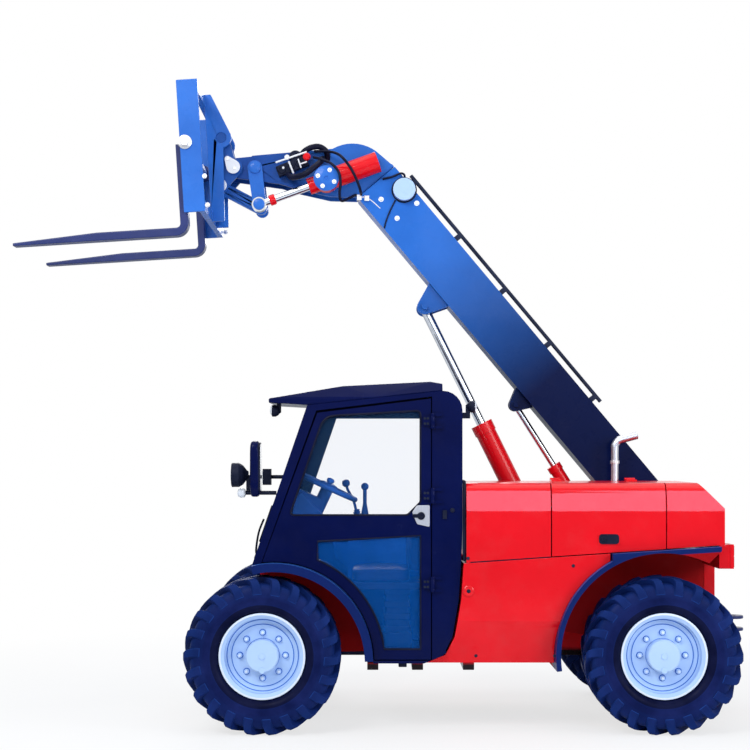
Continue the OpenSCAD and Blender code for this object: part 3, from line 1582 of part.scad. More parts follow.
module forks() {
  color("darkslategray") in_carriage() for (s = [-1, 1]) {
    difference() {
      union() {
        side(s * fork_pitch / 2 - fork_w / 2, s * fork_pitch / 2 + fork_w / 2) polygon(concat(
          [[fork_face - fork_t, shaft_p[1]]],
          arc([fork_face - fork_t + fork_heel, fork_heel - fork_drop], fork_heel, 180, 270, 8),
          [
            [fork_face + fork_l, -fork_drop], [fork_face + fork_l, -fork_drop + fork_t / 3],
            [fork_face + fork_l / 2, -fork_drop + fork_t]
          ],
          arc([fork_face + fork_heel / 3, -fork_drop + fork_t + fork_heel / 3], fork_heel / 3, 270, 180, 6),
          [[fork_face, shaft_p[1]]]
        ));
        bar_y(shaft_p, s * fork_pitch / 2 - fork_w / 2, s * fork_pitch / 2 + fork_w / 2, 2 * fork_eye_r);
      }
      bar_y(shaft_p, s * fork_pitch / 2 - fork_w, s * fork_pitch / 2 + fork_w, shaft_d + 2 * lay);
    }
  }
}

on_ground() frame();
on_ground() front_axle();
on_ground() rear_axle();
on_ground() engine();
on_ground() counterweight();
on_ground() tow_hitch();
on_ground() cab_frame();
on_ground() cab_roof();
on_ground() cab_glass();
on_ground() door();
on_ground() door_glass();
on_ground() seat();
on_ground() steering_column();
on_ground() control_console();
on_ground() hood_front();
on_ground() hood_door();
on_ground() hood_rear();
on_ground() side_box();
on_ground() right_tank();
on_ground() right_hood();
on_ground() fenders();
on_ground() wheel_liners();
on_ground() exhaust();
on_ground() mirrors();
on_ground() head_lamps();
on_ground() tail_lamps();
on_ground() roof_lamps();
on_ground() knuckle(0, 1);  // knuckle_fl
on_ground() knuckle(0, -1);  // knuckle_fr
on_ground() knuckle(rear_x, 1);  // knuckle_rl
on_ground() knuckle(rear_x, -1);  // knuckle_rr
on_ground() rim(0, 1);  // rim_fl
on_ground() rim(0, -1);  // rim_fr
on_ground() rim(rear_x, 1);  // rim_rl
on_ground() rim(rear_x, -1);  // rim_rr
on_ground() tyre(0, 1);  // tyre_fl
on_ground() tyre(0, -1);  // tyre_fr
on_ground() tyre(rear_x, 1);  // tyre_rl
on_ground() tyre(rear_x, -1);  // tyre_rr
on_ground() outer_boom();
on_ground() boom_pipe();
on_ground() boom_drum();
on_ground() inner_boom();
on_ground() boom_head();
on_ground() aux_coupler();
on_ground() lift_barrel();
on_ground() lift_rod();
on_ground() level_barrel();
on_ground() level_rod();
on_ground() tilt_barrel();
on_ground() tilt_rod();
on_ground() rocker();
on_ground() tilt_link();
on_ground() hitch();
on_ground() fork_carriage();
on_ground() forks();
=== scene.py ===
"""Looks of the compact telehandler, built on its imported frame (Blender 4.5).

Places are in millimetres ahead of the front axle, to the left and up, and go through spot().
Radii, profiles and widths of bevels are in metres.
"""

import json
import math

import bmesh
import bpy
from mathutils import Matrix, Vector


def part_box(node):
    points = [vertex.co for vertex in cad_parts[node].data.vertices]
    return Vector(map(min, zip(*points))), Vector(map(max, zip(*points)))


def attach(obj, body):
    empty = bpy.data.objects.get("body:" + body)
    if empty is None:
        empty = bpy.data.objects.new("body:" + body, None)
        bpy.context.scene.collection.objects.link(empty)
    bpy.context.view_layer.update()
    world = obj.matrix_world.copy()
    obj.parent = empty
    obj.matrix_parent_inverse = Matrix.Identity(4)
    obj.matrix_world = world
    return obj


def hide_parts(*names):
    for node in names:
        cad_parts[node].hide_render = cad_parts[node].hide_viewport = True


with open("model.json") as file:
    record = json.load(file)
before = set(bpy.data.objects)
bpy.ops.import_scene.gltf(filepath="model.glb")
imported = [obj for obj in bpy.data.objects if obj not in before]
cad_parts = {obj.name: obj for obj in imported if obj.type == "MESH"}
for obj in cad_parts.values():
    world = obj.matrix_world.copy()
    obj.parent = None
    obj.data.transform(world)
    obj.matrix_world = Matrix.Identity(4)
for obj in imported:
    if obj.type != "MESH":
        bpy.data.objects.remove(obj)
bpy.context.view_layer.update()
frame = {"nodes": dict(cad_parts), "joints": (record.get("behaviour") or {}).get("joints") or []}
nodes = frame["nodes"]
JOINTS = {j["name"]: j for j in frame["joints"]}

# The front axle, the boom pivot and the carriage pin, in metres of the row frame
AXLE_X = JOINTS["spin_front_left"]["pos_m"][0]
PIVOT = Vector(JOINTS["boom_lift"]["pos_m"])
CARRIAGE = Vector(JOINTS["carriage_tilt"]["pos_m"])
# The boom's angle and the carriage's lean at rest
BOOM_ANGLE = math.radians(50.0)
LEAN = math.radians(3.6)
AHEAD, LEFT, UP = (1.0, 0.0, 0.0), (0.0, 1.0, 0.0), (0.0, 0.0, 1.0)
# Middle and radius of the front wheel arch's edge
ARCH = (-62.0, 385.0)
ARCH_R = 530.0
# How far the hood's lower line falls for each millimetre forward
HOOD_SLOPE = 0.0659
# Faces that fittings stand on with a gap of 0.2: body panels, door, door lock and hood lid,
# then both sides of the boom and of the carriage
SIDE_FACE = 830.2
DOOR_FACE = 800.2
LOCK_FACE = 806.2
LID_FACE = 837.2
BOOM_SIDES = {1: 10.2, -1: -230.2}
CARRIAGE_SIDES = {1: 490.2, -1: -710.2}
# Outer face of the door's hinges
HINGE_FACE = 813.5


def ax(x):
    """Row X, in metres, of a place ahead of the front axle."""
    return AXLE_X + x / 1000.0


def spot(x, y, z):
    """Row point, in metres, of a place."""
    return Vector((ax(x), y / 1000.0, z / 1000.0))


def run(*points):
    """Row points of several places."""
    return [spot(*p) for p in points]


def carried(x, y, z):
    """Row point of the carriage's leaning frame, with Y as it is."""
    c, s = math.cos(LEAN), math.sin(LEAN)
    turned = CARRIAGE + Vector((x * c + z * s, 0.0, -x * s + z * c)) / 1000.0
    return Vector((turned.x, y / 1000.0, turned.z))


# Materials

# Sockets of the Mix node that blend two colours
MIX_FACTOR, MIX_A, MIX_B, MIX_RESULT = 0, 6, 7, 2
DUST = (0.55, 0.5, 0.45)
PANE_FILM = (0.9, 0.95, 1.0)


class Shader:
    """A Principled material with helpers for the textures that feed it."""

    def __init__(self, name):
        self.material = bpy.data.materials.new(name)
        self.material.use_nodes = True
        self.tree = self.material.node_tree
        self.bsdf = self.tree.nodes["Principled BSDF"]
        self.coord = self.tree.nodes.new("ShaderNodeTexCoord").outputs["Object"]

    def node(self, kind, **settings):
        """New node with its settings."""
        made = self.tree.nodes.new(kind)
        for key, value in settings.items():
            setattr(made, key, value)
        return made

    def link(self, a, b):
        self.tree.links.new(a, b)

    def noise(self, scale, detail=4.0, rough=0.55, stretch=None):
        """Noise in the object's own space, stretched along its axes if asked."""
        made = self.node("ShaderNodeTexNoise")
        made.inputs["Scale"].default_value = scale
        made.inputs["Detail"].default_value = detail
        made.inputs["Roughness"].default_value = rough
        source = self.coord
        if stretch:
            mapping = self.node("ShaderNodeMapping")
            mapping.inputs["Scale"].default_value = stretch
            self.link(self.coord, mapping.inputs["Vector"])
            source = mapping.outputs["Vector"]
        self.link(source, made.inputs["Vector"])
        return made.outputs["Fac"]

    def spread(self, value, low, high, lo_in=0.3, hi_in=0.7):
        """Maps lo_in to low and hi_in to high, and stays between them."""
        made = self.node("ShaderNodeMapRange")
        ends = {"From Min": lo_in, "From Max": hi_in, "To Min": low, "To Max": high}
        for key, number in ends.items():
            made.inputs[key].default_value = number
        self.link(value, made.inputs["Value"])
        return made.outputs["Result"]

    def mix(self, factor, a, b):
        """Blends two colours, each a tuple or a socket."""
        made = self.node("ShaderNodeMix", data_type="RGBA")
        self.link(factor, made.inputs[MIX_FACTOR])
        for socket, colour in ((made.inputs[MIX_A], a), (made.inputs[MIX_B], b)):
            if isinstance(colour, tuple):
                socket.default_value = (*colour, 1.0)
            else:
                self.link(colour, socket)
        return made.outputs[MIX_RESULT]

    def drift(self, scale, a, b):
        """Slow change between two colours."""
        return self.mix(self.spread(self.noise(scale, 5.0), 0.0, 1.0), a, b)

    def along(self, axis, start, end):
        """0 to 1 between two distances along an axis of the object."""
        dot = self.node("ShaderNodeVectorMath", operation="DOT_PRODUCT")
        dot.inputs[1].default_value = axis
        self.link(self.coord, dot.inputs[0])
        return self.spread(dot.outputs["Value"], 0.0, 1.0, start, end)

    def facing_up(self, low, high):
        """0 to 1 as the surface turns upward."""
        split = self.node("ShaderNodeSeparateXYZ")
        self.link(self.node("ShaderNodeNewGeometry").outputs["Normal"], split.inputs[0])
        return self.spread(split.outputs["Z"], 0.0, 1.0, low, high)

    def edges(self, low, high):
        """0 to 1 on the edges that stick out."""
        sharp = self.node("ShaderNodeNewGeometry").outputs["Pointiness"]
        return self.spread(sharp, 0.0, 1.0, low, high)

    def times(self, a, b):
        """Product of two values."""
        made = self.node("ShaderNodeMath", operation="MULTIPLY")
        self.link(a, made.inputs[0])
        self.link(b, made.inputs[1])
        return made.outputs[0]

    def bump(self, height, strength, distance):
        """Fine relief that only bends the light."""
        made = self.node("ShaderNodeBump")
        made.inputs["Strength"].default_value = strength
        made.inputs["Distance"].default_value = distance
        self.link(height, made.inputs["Height"])
        self.link(made.outputs["Normal"], self.bsdf.inputs["Normal"])

    def set(self, **values):
        """Sets sockets of the shader to numbers, or links other sockets to them."""
        for key, value in values.items():
            socket = self.bsdf.inputs[key.replace("_", " ")]
            if isinstance(value, float):
                socket.default_value = value
            else:
                self.link(value, socket)

    def sprayed(self, rough, shine):
        """Uneven gloss and the orange peel of sprayed paint."""
        gloss = self.spread(self.noise(14.0, 4.0), rough - 0.05, rough + 0.08)
        self.set(Roughness=gloss, Specular_IOR_Level=shine)
        self.bump(self.noise(190.0, 2.0), 0.05, 0.0008)


def paint(name, light, dark, rough=0.28, coat=0.12, shade_fade=None, shine=0.2, dust=0.018):
    """Sprayed enamel with a thin dust film; the optional fade paints shade, given as an axis, two
    distances and the far, shaded colour.
    """
    s = Shader(name)
    colour = s.drift(2.6, light, dark)
    # Painted shade: the colour turns to the far colour along the axis
    if shade_fade:
        axis, start, end, far = shade_fade
        colour = s.mix(s.along(axis, start, end), colour, far)
    film = s.spread(s.noise(9.0, 6.0, 0.65), 0.0, dust, 0.5, 0.75)
    s.set(Base_Color=s.mix(film, colour, DUST), Coat_Weight=coat, Coat_Roughness=0.06)
    s.sprayed(rough, shine)
    return s.material


def fender_paint():
    """Navy mudguards with a painted highlight on their upward faces, and painted shade between the
    rear arch and the hood: a dark red for an inner wall in shade.
    """
    s = Shader("fender_enamel")
    blue = s.drift(2.6, (0.0050, 0.018, 0.12), (0.0035, 0.013, 0.090))
    # Painted highlight: paler blue on the faces that turn upward
    blue = s.mix(s.facing_up(0.1, 0.8), blue, (0.030, 0.11, 0.42))
    # Painted shade: a dark red between the rear arch and the hood line, standing for an inner wall
    # in shade
    under_hood = s.along((HOOD_SLOPE, 0.0, 1.0), 0.861, 0.858)
    behind_arch = s.along(AHEAD, ax(-2150), ax(-2154))
    s.set(Base_Color=s.mix(s.times(under_hood, behind_arch), blue, (0.30, 0.004, 0.006)))
    s.sprayed(0.30, 0.06)
    return s.material


def metal(name, colour, rough, streak=(1.0, 1.0, 1.0), scale=60.0):
    """Bare or plated metal with fine grinding streaks."""
    s = Shader(name)
    grain = s.noise(scale, 3.0, 0.6, streak)
    darker = tuple(0.82 * c for c in colour)
    s.set(Base_Color=s.mix(s.spread(grain, 0.0, 1.0), colour, darker), Metallic=1.0)
    s.set(Roughness=s.spread(grain, max(0.03, rough - 0.04), rough + 0.06))
    s.bump(grain, 0.03, 0.0005)
    return s.material


def rubber(name, colour, rough=0.6, grain=120.0, edge_highlight=None, shine=0.09):
    """Moulded rubber or plastic: fine grain, dusty patches and an optional painted highlight on the
    edges that stick out.
    """
    s = Shader(name)
    lighter = tuple(min(1.0, 1.9 * c + 0.006) for c in colour)
    patch = s.spread(s.noise(7.0, 6.0, 0.6), 0.0, 1.0, 0.35, 0.75)
    look = s.mix(patch, colour, lighter)
    # Painted highlight: the edges that stick out turn lighter
    if edge_highlight:
        look = s.mix(s.edges(0.505, 0.60), look, edge_highlight)
    gloss = s.spread(s.noise(18.0, 4.0), rough - 0.1, rough + 0.1)
    s.set(Base_Color=look, Roughness=gloss, Specular_IOR_Level=shine)
    s.bump(s.noise(grain, 3.0), 0.12, 0.001)
    return s.material


def glass(name, tint, alpha, low=None):
    """Pane with a faint film; low gives a tint, an alpha and the heights where they come in."""
    s = Shader(name)
    colour = s.mix(s.spread(s.noise(5.0, 5.0), 0.0, 0.03), tint, PANE_FILM)
    if low:
        low_tint, low_alpha, top, bottom = low
        below = s.along(UP, top, bottom)
        colour = s.mix(below, colour, low_tint)
        alpha = s.spread(below, alpha, low_alpha, 0.0, 1.0)
    s.set(Base_Color=colour, Alpha=alpha, Roughness=0.04, Specular_IOR_Level=0.07)
    return s.material


BOOM_AXIS = (math.cos(BOOM_ANGLE), 0.0, math.sin(BOOM_ANGLE))
# The boom pivot's distance along that axis
BOOM_FOOT = PIVOT.x * BOOM_AXIS[0] + PIVOT.z * BOOM_AXIS[2]

RED = paint("red_enamel", (0.80, 0.005, 0.013), (0.70, 0.004, 0.010), coat=0.45, shine=0.03)
# Frame red that turns near-black towards the bottom: painted shade on the underside
FRAME_RED = paint(
    "frame_enamel", (0.74, 0.006, 0.014), (0.62, 0.005, 0.010), shine=0.1,
    shade_fade=(UP, 0.386, 0.362, (0.006, 0.001, 0.003)),
)
# A darker copy of the body red for the wheel liners under the mudguards: painted shade
SHADED_RED = paint(
    "shaded_red_enamel", (0.46, 0.006, 0.008), (0.36, 0.004, 0.006), rough=0.5, coat=0.0, shine=0.06,
)
BLUE = paint("blue_enamel", (0.032, 0.17, 0.62), (0.024, 0.13, 0.50), shine=0.12)
# Boom head blue that darkens towards the nose: painted shade
HEAD_BLUE = paint(
    "head_enamel", (0.032, 0.17, 0.62), (0.024, 0.13, 0.50), shine=0.1,
    shade_fade=(AHEAD, ax(-330), ax(-170), (0.010, 0.066, 0.30)),
)
HITCH_BLUE = paint("hitch_enamel", (0.018, 0.105, 0.42), (0.013, 0.080, 0.33), shine=0.1)
# Boom blue, bright on the upper part and near-black towards the pivot: painted light and shade
# along the boom
BOOM_BLUE = paint(
    "boom_enamel", (0.026, 0.165, 0.62), (0.021, 0.135, 0.52), coat=0.06, shine=0.07, dust=0.005,
    shade_fade=(BOOM_AXIS, BOOM_FOOT + 2.05, BOOM_FOOT + 0.95, (0.0006, 0.0050, 0.046)),
)
NAVY = paint(
    "navy_enamel", (0.0012, 0.0048, 0.056), (0.0008, 0.0033, 0.040), rough=0.2, coat=0.03,
    shine=0.05, dust=0.003,
)
RIM = paint(
    "rim_enamel", (0.47, 0.64, 0.90), (0.41, 0.58, 0.86), rough=0.42, coat=0.05, shine=0.12,
)
# A paler copy of the rim paint: painted highlight on the flange lip; the stud ends use it too
RIM_HIGHLIGHT = paint("rim_highlight_enamel", (0.76, 0.83, 0.93), (0.69, 0.78, 0.91), rough=0.38, coat=0.05)
FORK_STEEL = paint("fork_enamel", (0.026, 0.040, 0.16), (0.018, 0.029, 0.12), rough=0.32, coat=0.1)
WHITE = paint("white_enamel", (0.84, 0.85, 0.87), (0.78, 0.79, 0.81), rough=0.35)
FENDER = fender_paint()
CHROME = metal("hard_chrome", (0.80, 0.83, 0.88), 0.12, scale=40.0)
STEEL = metal("brushed_steel", (0.62, 0.64, 0.70), 0.30, (6.0, 6.0, 0.6), 50.0)
ZINC = metal("zinc", (0.80, 0.80, 0.82), 0.35)
IRON = rubber("cast_iron", (0.012, 0.016, 0.034), 0.6, 60.0)
# Tyre rubber with a painted highlight on the edges of the lugs
TYRE = rubber(
    "tyre_rubber", (0.0014, 0.0056, 0.050), 0.5, 90.0, edge_highlight=(0.009, 0.040, 0.20), shine=0.06,
)
# A darker copy of the tyre rubber for the sidewall near the rim: painted shade
SHADED_TYRE = rubber("tyre_shaded_rubber", (0.0006, 0.0020, 0.020), 0.4, 90.0, shine=0.05)
BLACK = rubber("black_plastic", (0.004, 0.006, 0.018), 0.45, 160.0)
HOSE = rubber("hose_rubber", (0.003, 0.004, 0.016), 0.4, 200.0)
LINING = rubber("cab_lining", (0.013, 0.075, 0.33), 0.5, 140.0)
VINYL = rubber("seat_vinyl", (0.006, 0.009, 0.030), 0.42, 260.0)
PANE = (0.10, 0.35, 0.80)
CAB_GLASS = glass("cab_pane", PANE, 0.03)
DOOR_GLASS = glass("door_pane", PANE, 0.03, low=((0.006, 0.13, 0.54), 0.22, 1.14, 1.08))
LENS = glass("lamp_lens", (0.86, 0.90, 0.95), 0.82)
TAIL_LENS = glass("tail_lens", (0.55, 0.01, 0.015), 0.94)

CAD_LOOKS = {
    SHADED_RED: "wheel_liners",
    FRAME_RED: "frame",
    RED: "counterweight hood_front hood_door hood_rear side_box right_tank right_hood tilt_barrel "
         "lift_barrel level_barrel tail_lamps",
    BOOM_BLUE: "outer_boom inner_boom",
    HEAD_BLUE: "boom_head",
    HITCH_BLUE: "hitch",
    BLUE: "fork_carriage rocker tilt_link",
    NAVY: "cab_frame cab_roof door",
    FENDER: "fenders",
    RIM: "rim_fl rim_fr rim_rl rim_rr boom_drum",
    TYRE: "tyre_fl tyre_fr tyre_rl tyre_rr",
    CHROME: "lift_rod level_rod tilt_rod",
    STEEL: "exhaust",
    FORK_STEEL: "forks tow_hitch",
    IRON: "front_axle rear_axle engine knuckle_fl knuckle_fr knuckle_rl knuckle_rr boom_pipe",
    LINING: "steering_column control_console",
    BLACK: "mirrors head_lamps roof_lamps aux_coupler seat",
    CAB_GLASS: "cab_glass",
    DOOR_GLASS: "door_glass",
}
# Width of the rounded edges of the CAD nodes
CAD_EDGES = {
    0.004: "hitch rocker tilt_link frame tow_hitch",
    0.005: "inner_boom boom_head fork_carriage",
    0.006: "cab_frame door hood_front hood_door fenders forks counterweight",
    0.008: "cab_roof hood_rear side_box outer_boom",
    0.010: "right_tank right_hood",
}


def round_edges(obj, width, angle, segments=2):
    """Rounds the edges that turn by more than an angle in degrees."""
    bevel = obj.modifiers.new("edges", "BEVEL")
    bevel.width = width
    bevel.segments = segments
    bevel.limit_method = "ANGLE"
    bevel.angle_limit = math.radians(angle)
    bevel.harden_normals = True


def dress_cad():
    """Materials for the CAD nodes, and rounded edges that catch the light."""
    for material, names in CAD_LOOKS.items():
        for name in names.split():
            nodes[name].data.materials.clear()
            nodes[name].data.materials.append(material)
    for width, names in CAD_EDGES.items():
        for name in names.split():
            weld = nodes[name].modifiers.new("weld", "WELD")
            weld.merge_threshold = 0.00002
            round_edges(nodes[name], width, 32)


# Mesh helpers


def piece(name, bm, material, body, bevel=0.0, segments=2, smooth=35.0, stands_for=()):
    """Turns a bmesh into an object that rides on a CAD body."""
    mesh = bpy.data.meshes.new(name)
    bmesh.ops.recalc_face_normals(bm, faces=bm.faces[:])
    bm.to_mesh(mesh)
    bm.free()
    for face in mesh.polygons:
        face.use_smooth = True
    mesh.set_sharp_from_angle(angle=math.radians(smooth))
    obj = bpy.data.objects.new(name, mesh)
    bpy.context.scene.collection.objects.link(obj)
    for one in material if isinstance(material, tuple) else (material,):
        mesh.materials.append(one)
    if bevel:
        round_edges(obj, bevel, 30, segments)
    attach(obj, body)
    if stands_for:
        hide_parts(*stands_for)
    return obj


def skin(bm, rows):
    """Quads between rows of vertices that close on themselves."""
    count = len(rows[0])
    for low, high in zip(rows, rows[1:]):
        for k in range(count):
            n = (k + 1) % count
            bm.faces.new((low[k], low[n], high[n], high[k]))


def loft(bm, rings):
    """Skins rings of points, each with the same count, and closes both ends."""
    rows = [[bm.verts.new(p) for p in ring] for ring in rings]
    skin(bm, rows)
    bm.faces.new(rows[0][::-1])
    bm.faces.new(rows[-1])


def basis(axis):
    """Two unit vectors square to a unit axis and to each other."""
    other = Vector(UP) if abs(axis.z) < 0.9 else Vector(AHEAD)
    a = axis.cross(other).normalized()
    return a, axis.cross(a).normalized()


def circle(centre, a, b, radius, steps):
    """Points of a circle in the plane of two unit vectors."""
    angles = (2 * math.pi * k / steps for k in range(steps))
    return [centre + (a * math.cos(t) + b * math.sin(t)) * radius for t in angles]


def lathe(bm, centre, axis, profile, steps, closed=False):
    """Turns a profile of (radius, height) pairs about an axis; a closed one makes a ring."""
    axis = Vector(axis).normalized()
    a, b = basis(axis)
    rings = [circle(centre + axis * h, a, b, r, steps) for r, h in profile]
    rows = [[bm.verts.new(p) for p in ring] for ring in rings]
    if closed:
        skin(bm, rows + rows[:1])
    else:
        skin(bm, rows)
        bm.faces.new(rows[0])
        bm.faces.new(rows[-1])


def drum(bm, p, q, radius, steps, edge):
    """Solid round bar from p to q with a small chamfer."""
    length = (q - p).length
    inner = radius - edge
    profile = [(inner, 0.0), (radius, edge), (radius, length - edge), (inner, length)]
    lathe(bm, p, q - p, profile, steps)


def box(bm, low, high, matrix=Matrix.Identity(4)):
    """Box between two corners, moved by a matrix."""
    xs, ys, zs = zip(low, high)
    v = [bm.verts.new(matrix @ Vector((x, y, z))) for z in zs for y in ys for x in xs]
    for k in ((0, 2, 3, 1), (4, 5, 7, 6), (0, 1, 5, 4), (1, 3, 7, 5), (3, 2, 6, 7), (2, 0, 4, 6)):
        bm.faces.new([v[i] for i in k])


def block(bm, low, high):
    """Box between two places."""
    box(bm, spot(*low), spot(*high))


def plate(bm, outline, y0, y1):
    """Extrudes an outline of X and Z from one Y to another."""
    loft(bm, [[spot(x, y, z) for x, z in outline] for y in (y0, y1)])


def curve(points, smooth):
    """Path through points, with a number of steps between each two."""
    path = []
    last = len(points) - 1
    for k in range(last):
        p0, p1 = points[max(k - 1, 0)], points[k]
        p2, p3 = points[k + 1], points[min(k + 2, last)]
        for i in range(smooth):
            t = i / smooth
            path.append(0.5 * (2 * p1 + (p2 - p0) * t + (2 * p0 - 5 * p1 + 4 * p2 - p3) * t * t
                               + (3 * p1 - p0 - 3 * p2 + p3) * t ** 3))
    return path + points[-1:]


def tube(bm, points, radius, steps, smooth):
    """Round tube along a smoothed path."""
    path = curve(points, smooth)
    side = None
    rings = []
    for k, p in enumerate(path):
        ahead = (path[min(k + 1, len(path) - 1)] - path[max(k - 1, 0)]).normalized()
        if side is None:
            side = basis(ahead)[0]
        side = (side - ahead * side.dot(ahead)).normalized()
        rings.append(circle(p, side, ahead.cross(side), radius, steps))
    loft(bm, rings)


def cord(bm, outline, y, radius, steps):
    """Round cord that follows an outline of X and Z back to its start."""
    points = [spot(x, y, z) for x, z in outline]
    tube(bm, points + points[:1], radius, steps, 1)


def hexagon(bm, centre, axis, radius, height):
    """Bolt head with a washer, standing on a face."""
    washer = height * 0.25
    lathe(bm, centre, axis, [(radius * 1.5, 0.0), (radius * 1.5, washer)], 20)
    head = [(radius, 0.0), (radius, height * 0.65), (radius * 0.85, height * 0.75)]
    lathe(bm, centre + Vector(axis) * washer, axis, head, 6)


def fillet(pts, radii, steps=6):
    """Closed outline with its corners rounded."""
    out = []
    for k, r in enumerate(radii):
        a, b, c = Vector(pts[k - 1]), Vector(pts[k]), Vector(pts[(k + 1) % len(pts)])
        u, v = (a - b).normalized(), (c - b).normalized()
        cut = r / math.tan(u.angle(v) / 2)
        p, q = b + u * cut, b + v * cut
        for i in range(steps + 1):
            t = i / steps
            out.append(tuple(p * (1 - t) ** 2 + b * 2 * t * (1 - t) + q * t * t))
    return out


def rounded(low, high, radius, steps=6):
    """Outline of a rectangle with rounded corners."""
    (x0, z0), (x1, z1) = low, high
    return fillet([(x0, z0), (x1, z0), (x1, z1), (x0, z1)], [radius] * 4, steps)


def arc(centre, r, start, end, steps):
    """Points of an arc of X and Z between two angles in degrees."""
    angles = [math.radians(start + (end - start) * k / steps) for k in range(steps + 1)]
    return [(centre[0] + r * math.cos(a), centre[1] + r * math.sin(a)) for a in angles]


def teardrop(centre, r, tail, r_tail, angle):
    """Round plate with a rounded tail towards an angle."""
    end = arc(centre, tail, angle, angle, 1)[0]
    body = arc(centre, r, angle + 70, angle + 290, 20)
    return body + arc(end, r_tail, angle - 70, angle + 70, 10)


def pad(bm, low, high, crown, seams=(), cells=(26, 30, 8), power=6.0, turn=Matrix.Identity(3)):
    """Crowned cushion: rounded box whose top swells and whose seams pull in."""
    mid, half = (low + high) / 2, (high - low) / 2
    made = {}

    def vert(*key):
        if key not in made:
            n = [2.0 * v / c - 1.0 for v, c in zip(key, cells)]
            size = sum(abs(v) ** power for v in n) ** (1 / power)
            q = [v / size for v in n]
            swell = crown * (1 - n[0] ** 2) * (1 - n[1] ** 2) * max(n[2], 0.0)
            for s in seams:
                swell -= 0.55 * crown * math.exp(-((n[1] - s) / 0.03) ** 2) * max(n[2], 0.0)
            pull = 1.0 - 0.03 * (1 - n[2] ** 2)
            p = Vector((q[0] * half.x * pull, q[1] * half.y * pull, q[2] * half.z + swell))
            made[key] = bm.verts.new(mid + turn @ p)
        return made[key]

    def quad(*corners):
        bm.faces.new([vert(*corner) for corner in corners])

    a, b, c = cells
    for i in range(a):
        for j in range(b):
            quad((i, j, 0), (i, j + 1, 0), (i + 1, j + 1, 0), (i + 1, j, 0))
            quad((i, j, c), (i + 1, j, c), (i + 1, j + 1, c), (i, j + 1, c))
    for k in range(c):
        for i in range(a):
            quad((i, 0, k), (i + 1, 0, k), (i + 1, 0, k + 1), (i, 0, k + 1))
            quad((i, b, k), (i, b, k + 1), (i + 1, b, k + 1), (i + 1, b, k))
        for j in range(b):
            quad((0, j, k), (0, j, k + 1), (0, j + 1, k + 1), (0, j + 1, k))
            quad((a, j, k), (a, j + 1, k), (a, j + 1, k + 1), (a, j, k + 1))


# Wheels

WHEELS = {"front_left": "fl", "front_right": "fr", "rear_left": "rl", "rear_right": "rr"}
LUGS = 22
# Radius at which the lugs' trail is measured, and the one inside which the sidewall is dark, a
# painted shade
TRAIL_R = 0.41
SIDEWALL_SHADE_R = 0.268
# Half sections of the tyre, outside and inside: radius and distance from the middle plane
CARCASS = [
    (0.2126, 0.1124), (0.2314, 0.1124), (0.2400, 0.1290), (0.2480, 0.1390), (0.2600, 0.1455),
    (0.2760, 0.1495), (0.2900, 0.1480), (0.3050, 0.1500), (0.3220, 0.1520), (0.3400, 0.1500),
    (0.3560, 0.1460), (0.3700, 0.1400), (0.3820, 0.1300), (0.3880, 0.1150), (0.3910, 0.0700),
    (0.3920, 0.0),
]
HOLLOW = [(0.2126, 0.086), (0.240, 0.100), (0.310, 0.112), (0.360, 0.06), (0.366, 0.0)]
# Stations of a lug from the sidewall to the middle: distance from the middle plane at foot and
# top, radius at foot and top, half width at foot and top, and how far the station trails
LUG_STATIONS = [
    (0.1500, 0.1535, 0.330, 0.333, 0.026, 0.019, 0.000),
    (0.1480, 0.1548, 0.352, 0.357, 0.027, 0.020, 0.002),
    (0.1380, 0.1545, 0.374, 0.386, 0.028, 0.020, 0.006),
    (0.1240, 0.1490, 0.384, 0.408, 0.029, 0.020, 0.013),
    (0.1050, 0.1370, 0.388, 0.4188, 0.029, 0.020, 0.026),
    (0.0700, 0.0850, 0.389, 0.4195, 0.029, 0.021, 0.058),
    (0.0350, 0.0400, 0.390, 0.4195, 0.029, 0.021, 0.092),
    (-0.0060, 0.0020, 0.390, 0.4185, 0.028, 0.020, 0.124),
]
# The rim's bolts and its disc: turning radius, count, and the face's distance from the middle
BOLT_RING = 0.122
BOLTS = 8
DISC_FACE = 0.054
# Dark rings of the disc, painted shade at its steps and round the hub: inner and outer radius, and
# height above the face
SHADE_RINGS = ((0.1640, 0.1685, 0.0), (0.1890, 0.1935, 0.004), (0.0895, 0.0915, 0.0))


def tyre_mesh(centre, out):
    """Carcass with two staggered rows of slanted lugs that wrap over the shoulders."""
    bm = bmesh.new()
    half, crown = CARCASS[:-1], CARCASS[-1:]
    ring = ([(r, -h) for r, h in half] + crown + half[::-1]
            + HOLLOW + [(r, -h) for r, h in HOLLOW[-2::-1]])
    lathe(bm, centre, out, ring, 96, closed=True)
    # Painted shade: the sidewall near the rim gets the darker rubber
    for face in bm.faces:
        away = face.calc_center_median() - centre
        face.material_index = 1 if math.hypot(away.x, away.z) < SIDEWALL_SHADE_R else 0

    def at(r, across, angle):
        return centre + Vector((r * math.cos(angle), across, r * math.sin(angle)))

    for row in (-1, 1):
        for k in range(LUGS):
            start = 2 * math.pi * (k + 0.25 * row) / LUGS
            rings = []
            for foot_y, top_y, foot_r, top_r, foot_w, top_w, trail in LUG_STATIONS:
                a = start - trail / TRAIL_R
                foot, top = foot_w / foot_r, top_w / top_r
                rings.append([
                    at(foot_r, row * foot_y, a - foot), at(top_r, row * top_y, a - top),
                    at(top_r, row * top_y, a + top), at(foot_r, row * foot_y, a + foot),
                ])
            loft(bm, rings)
    return bm


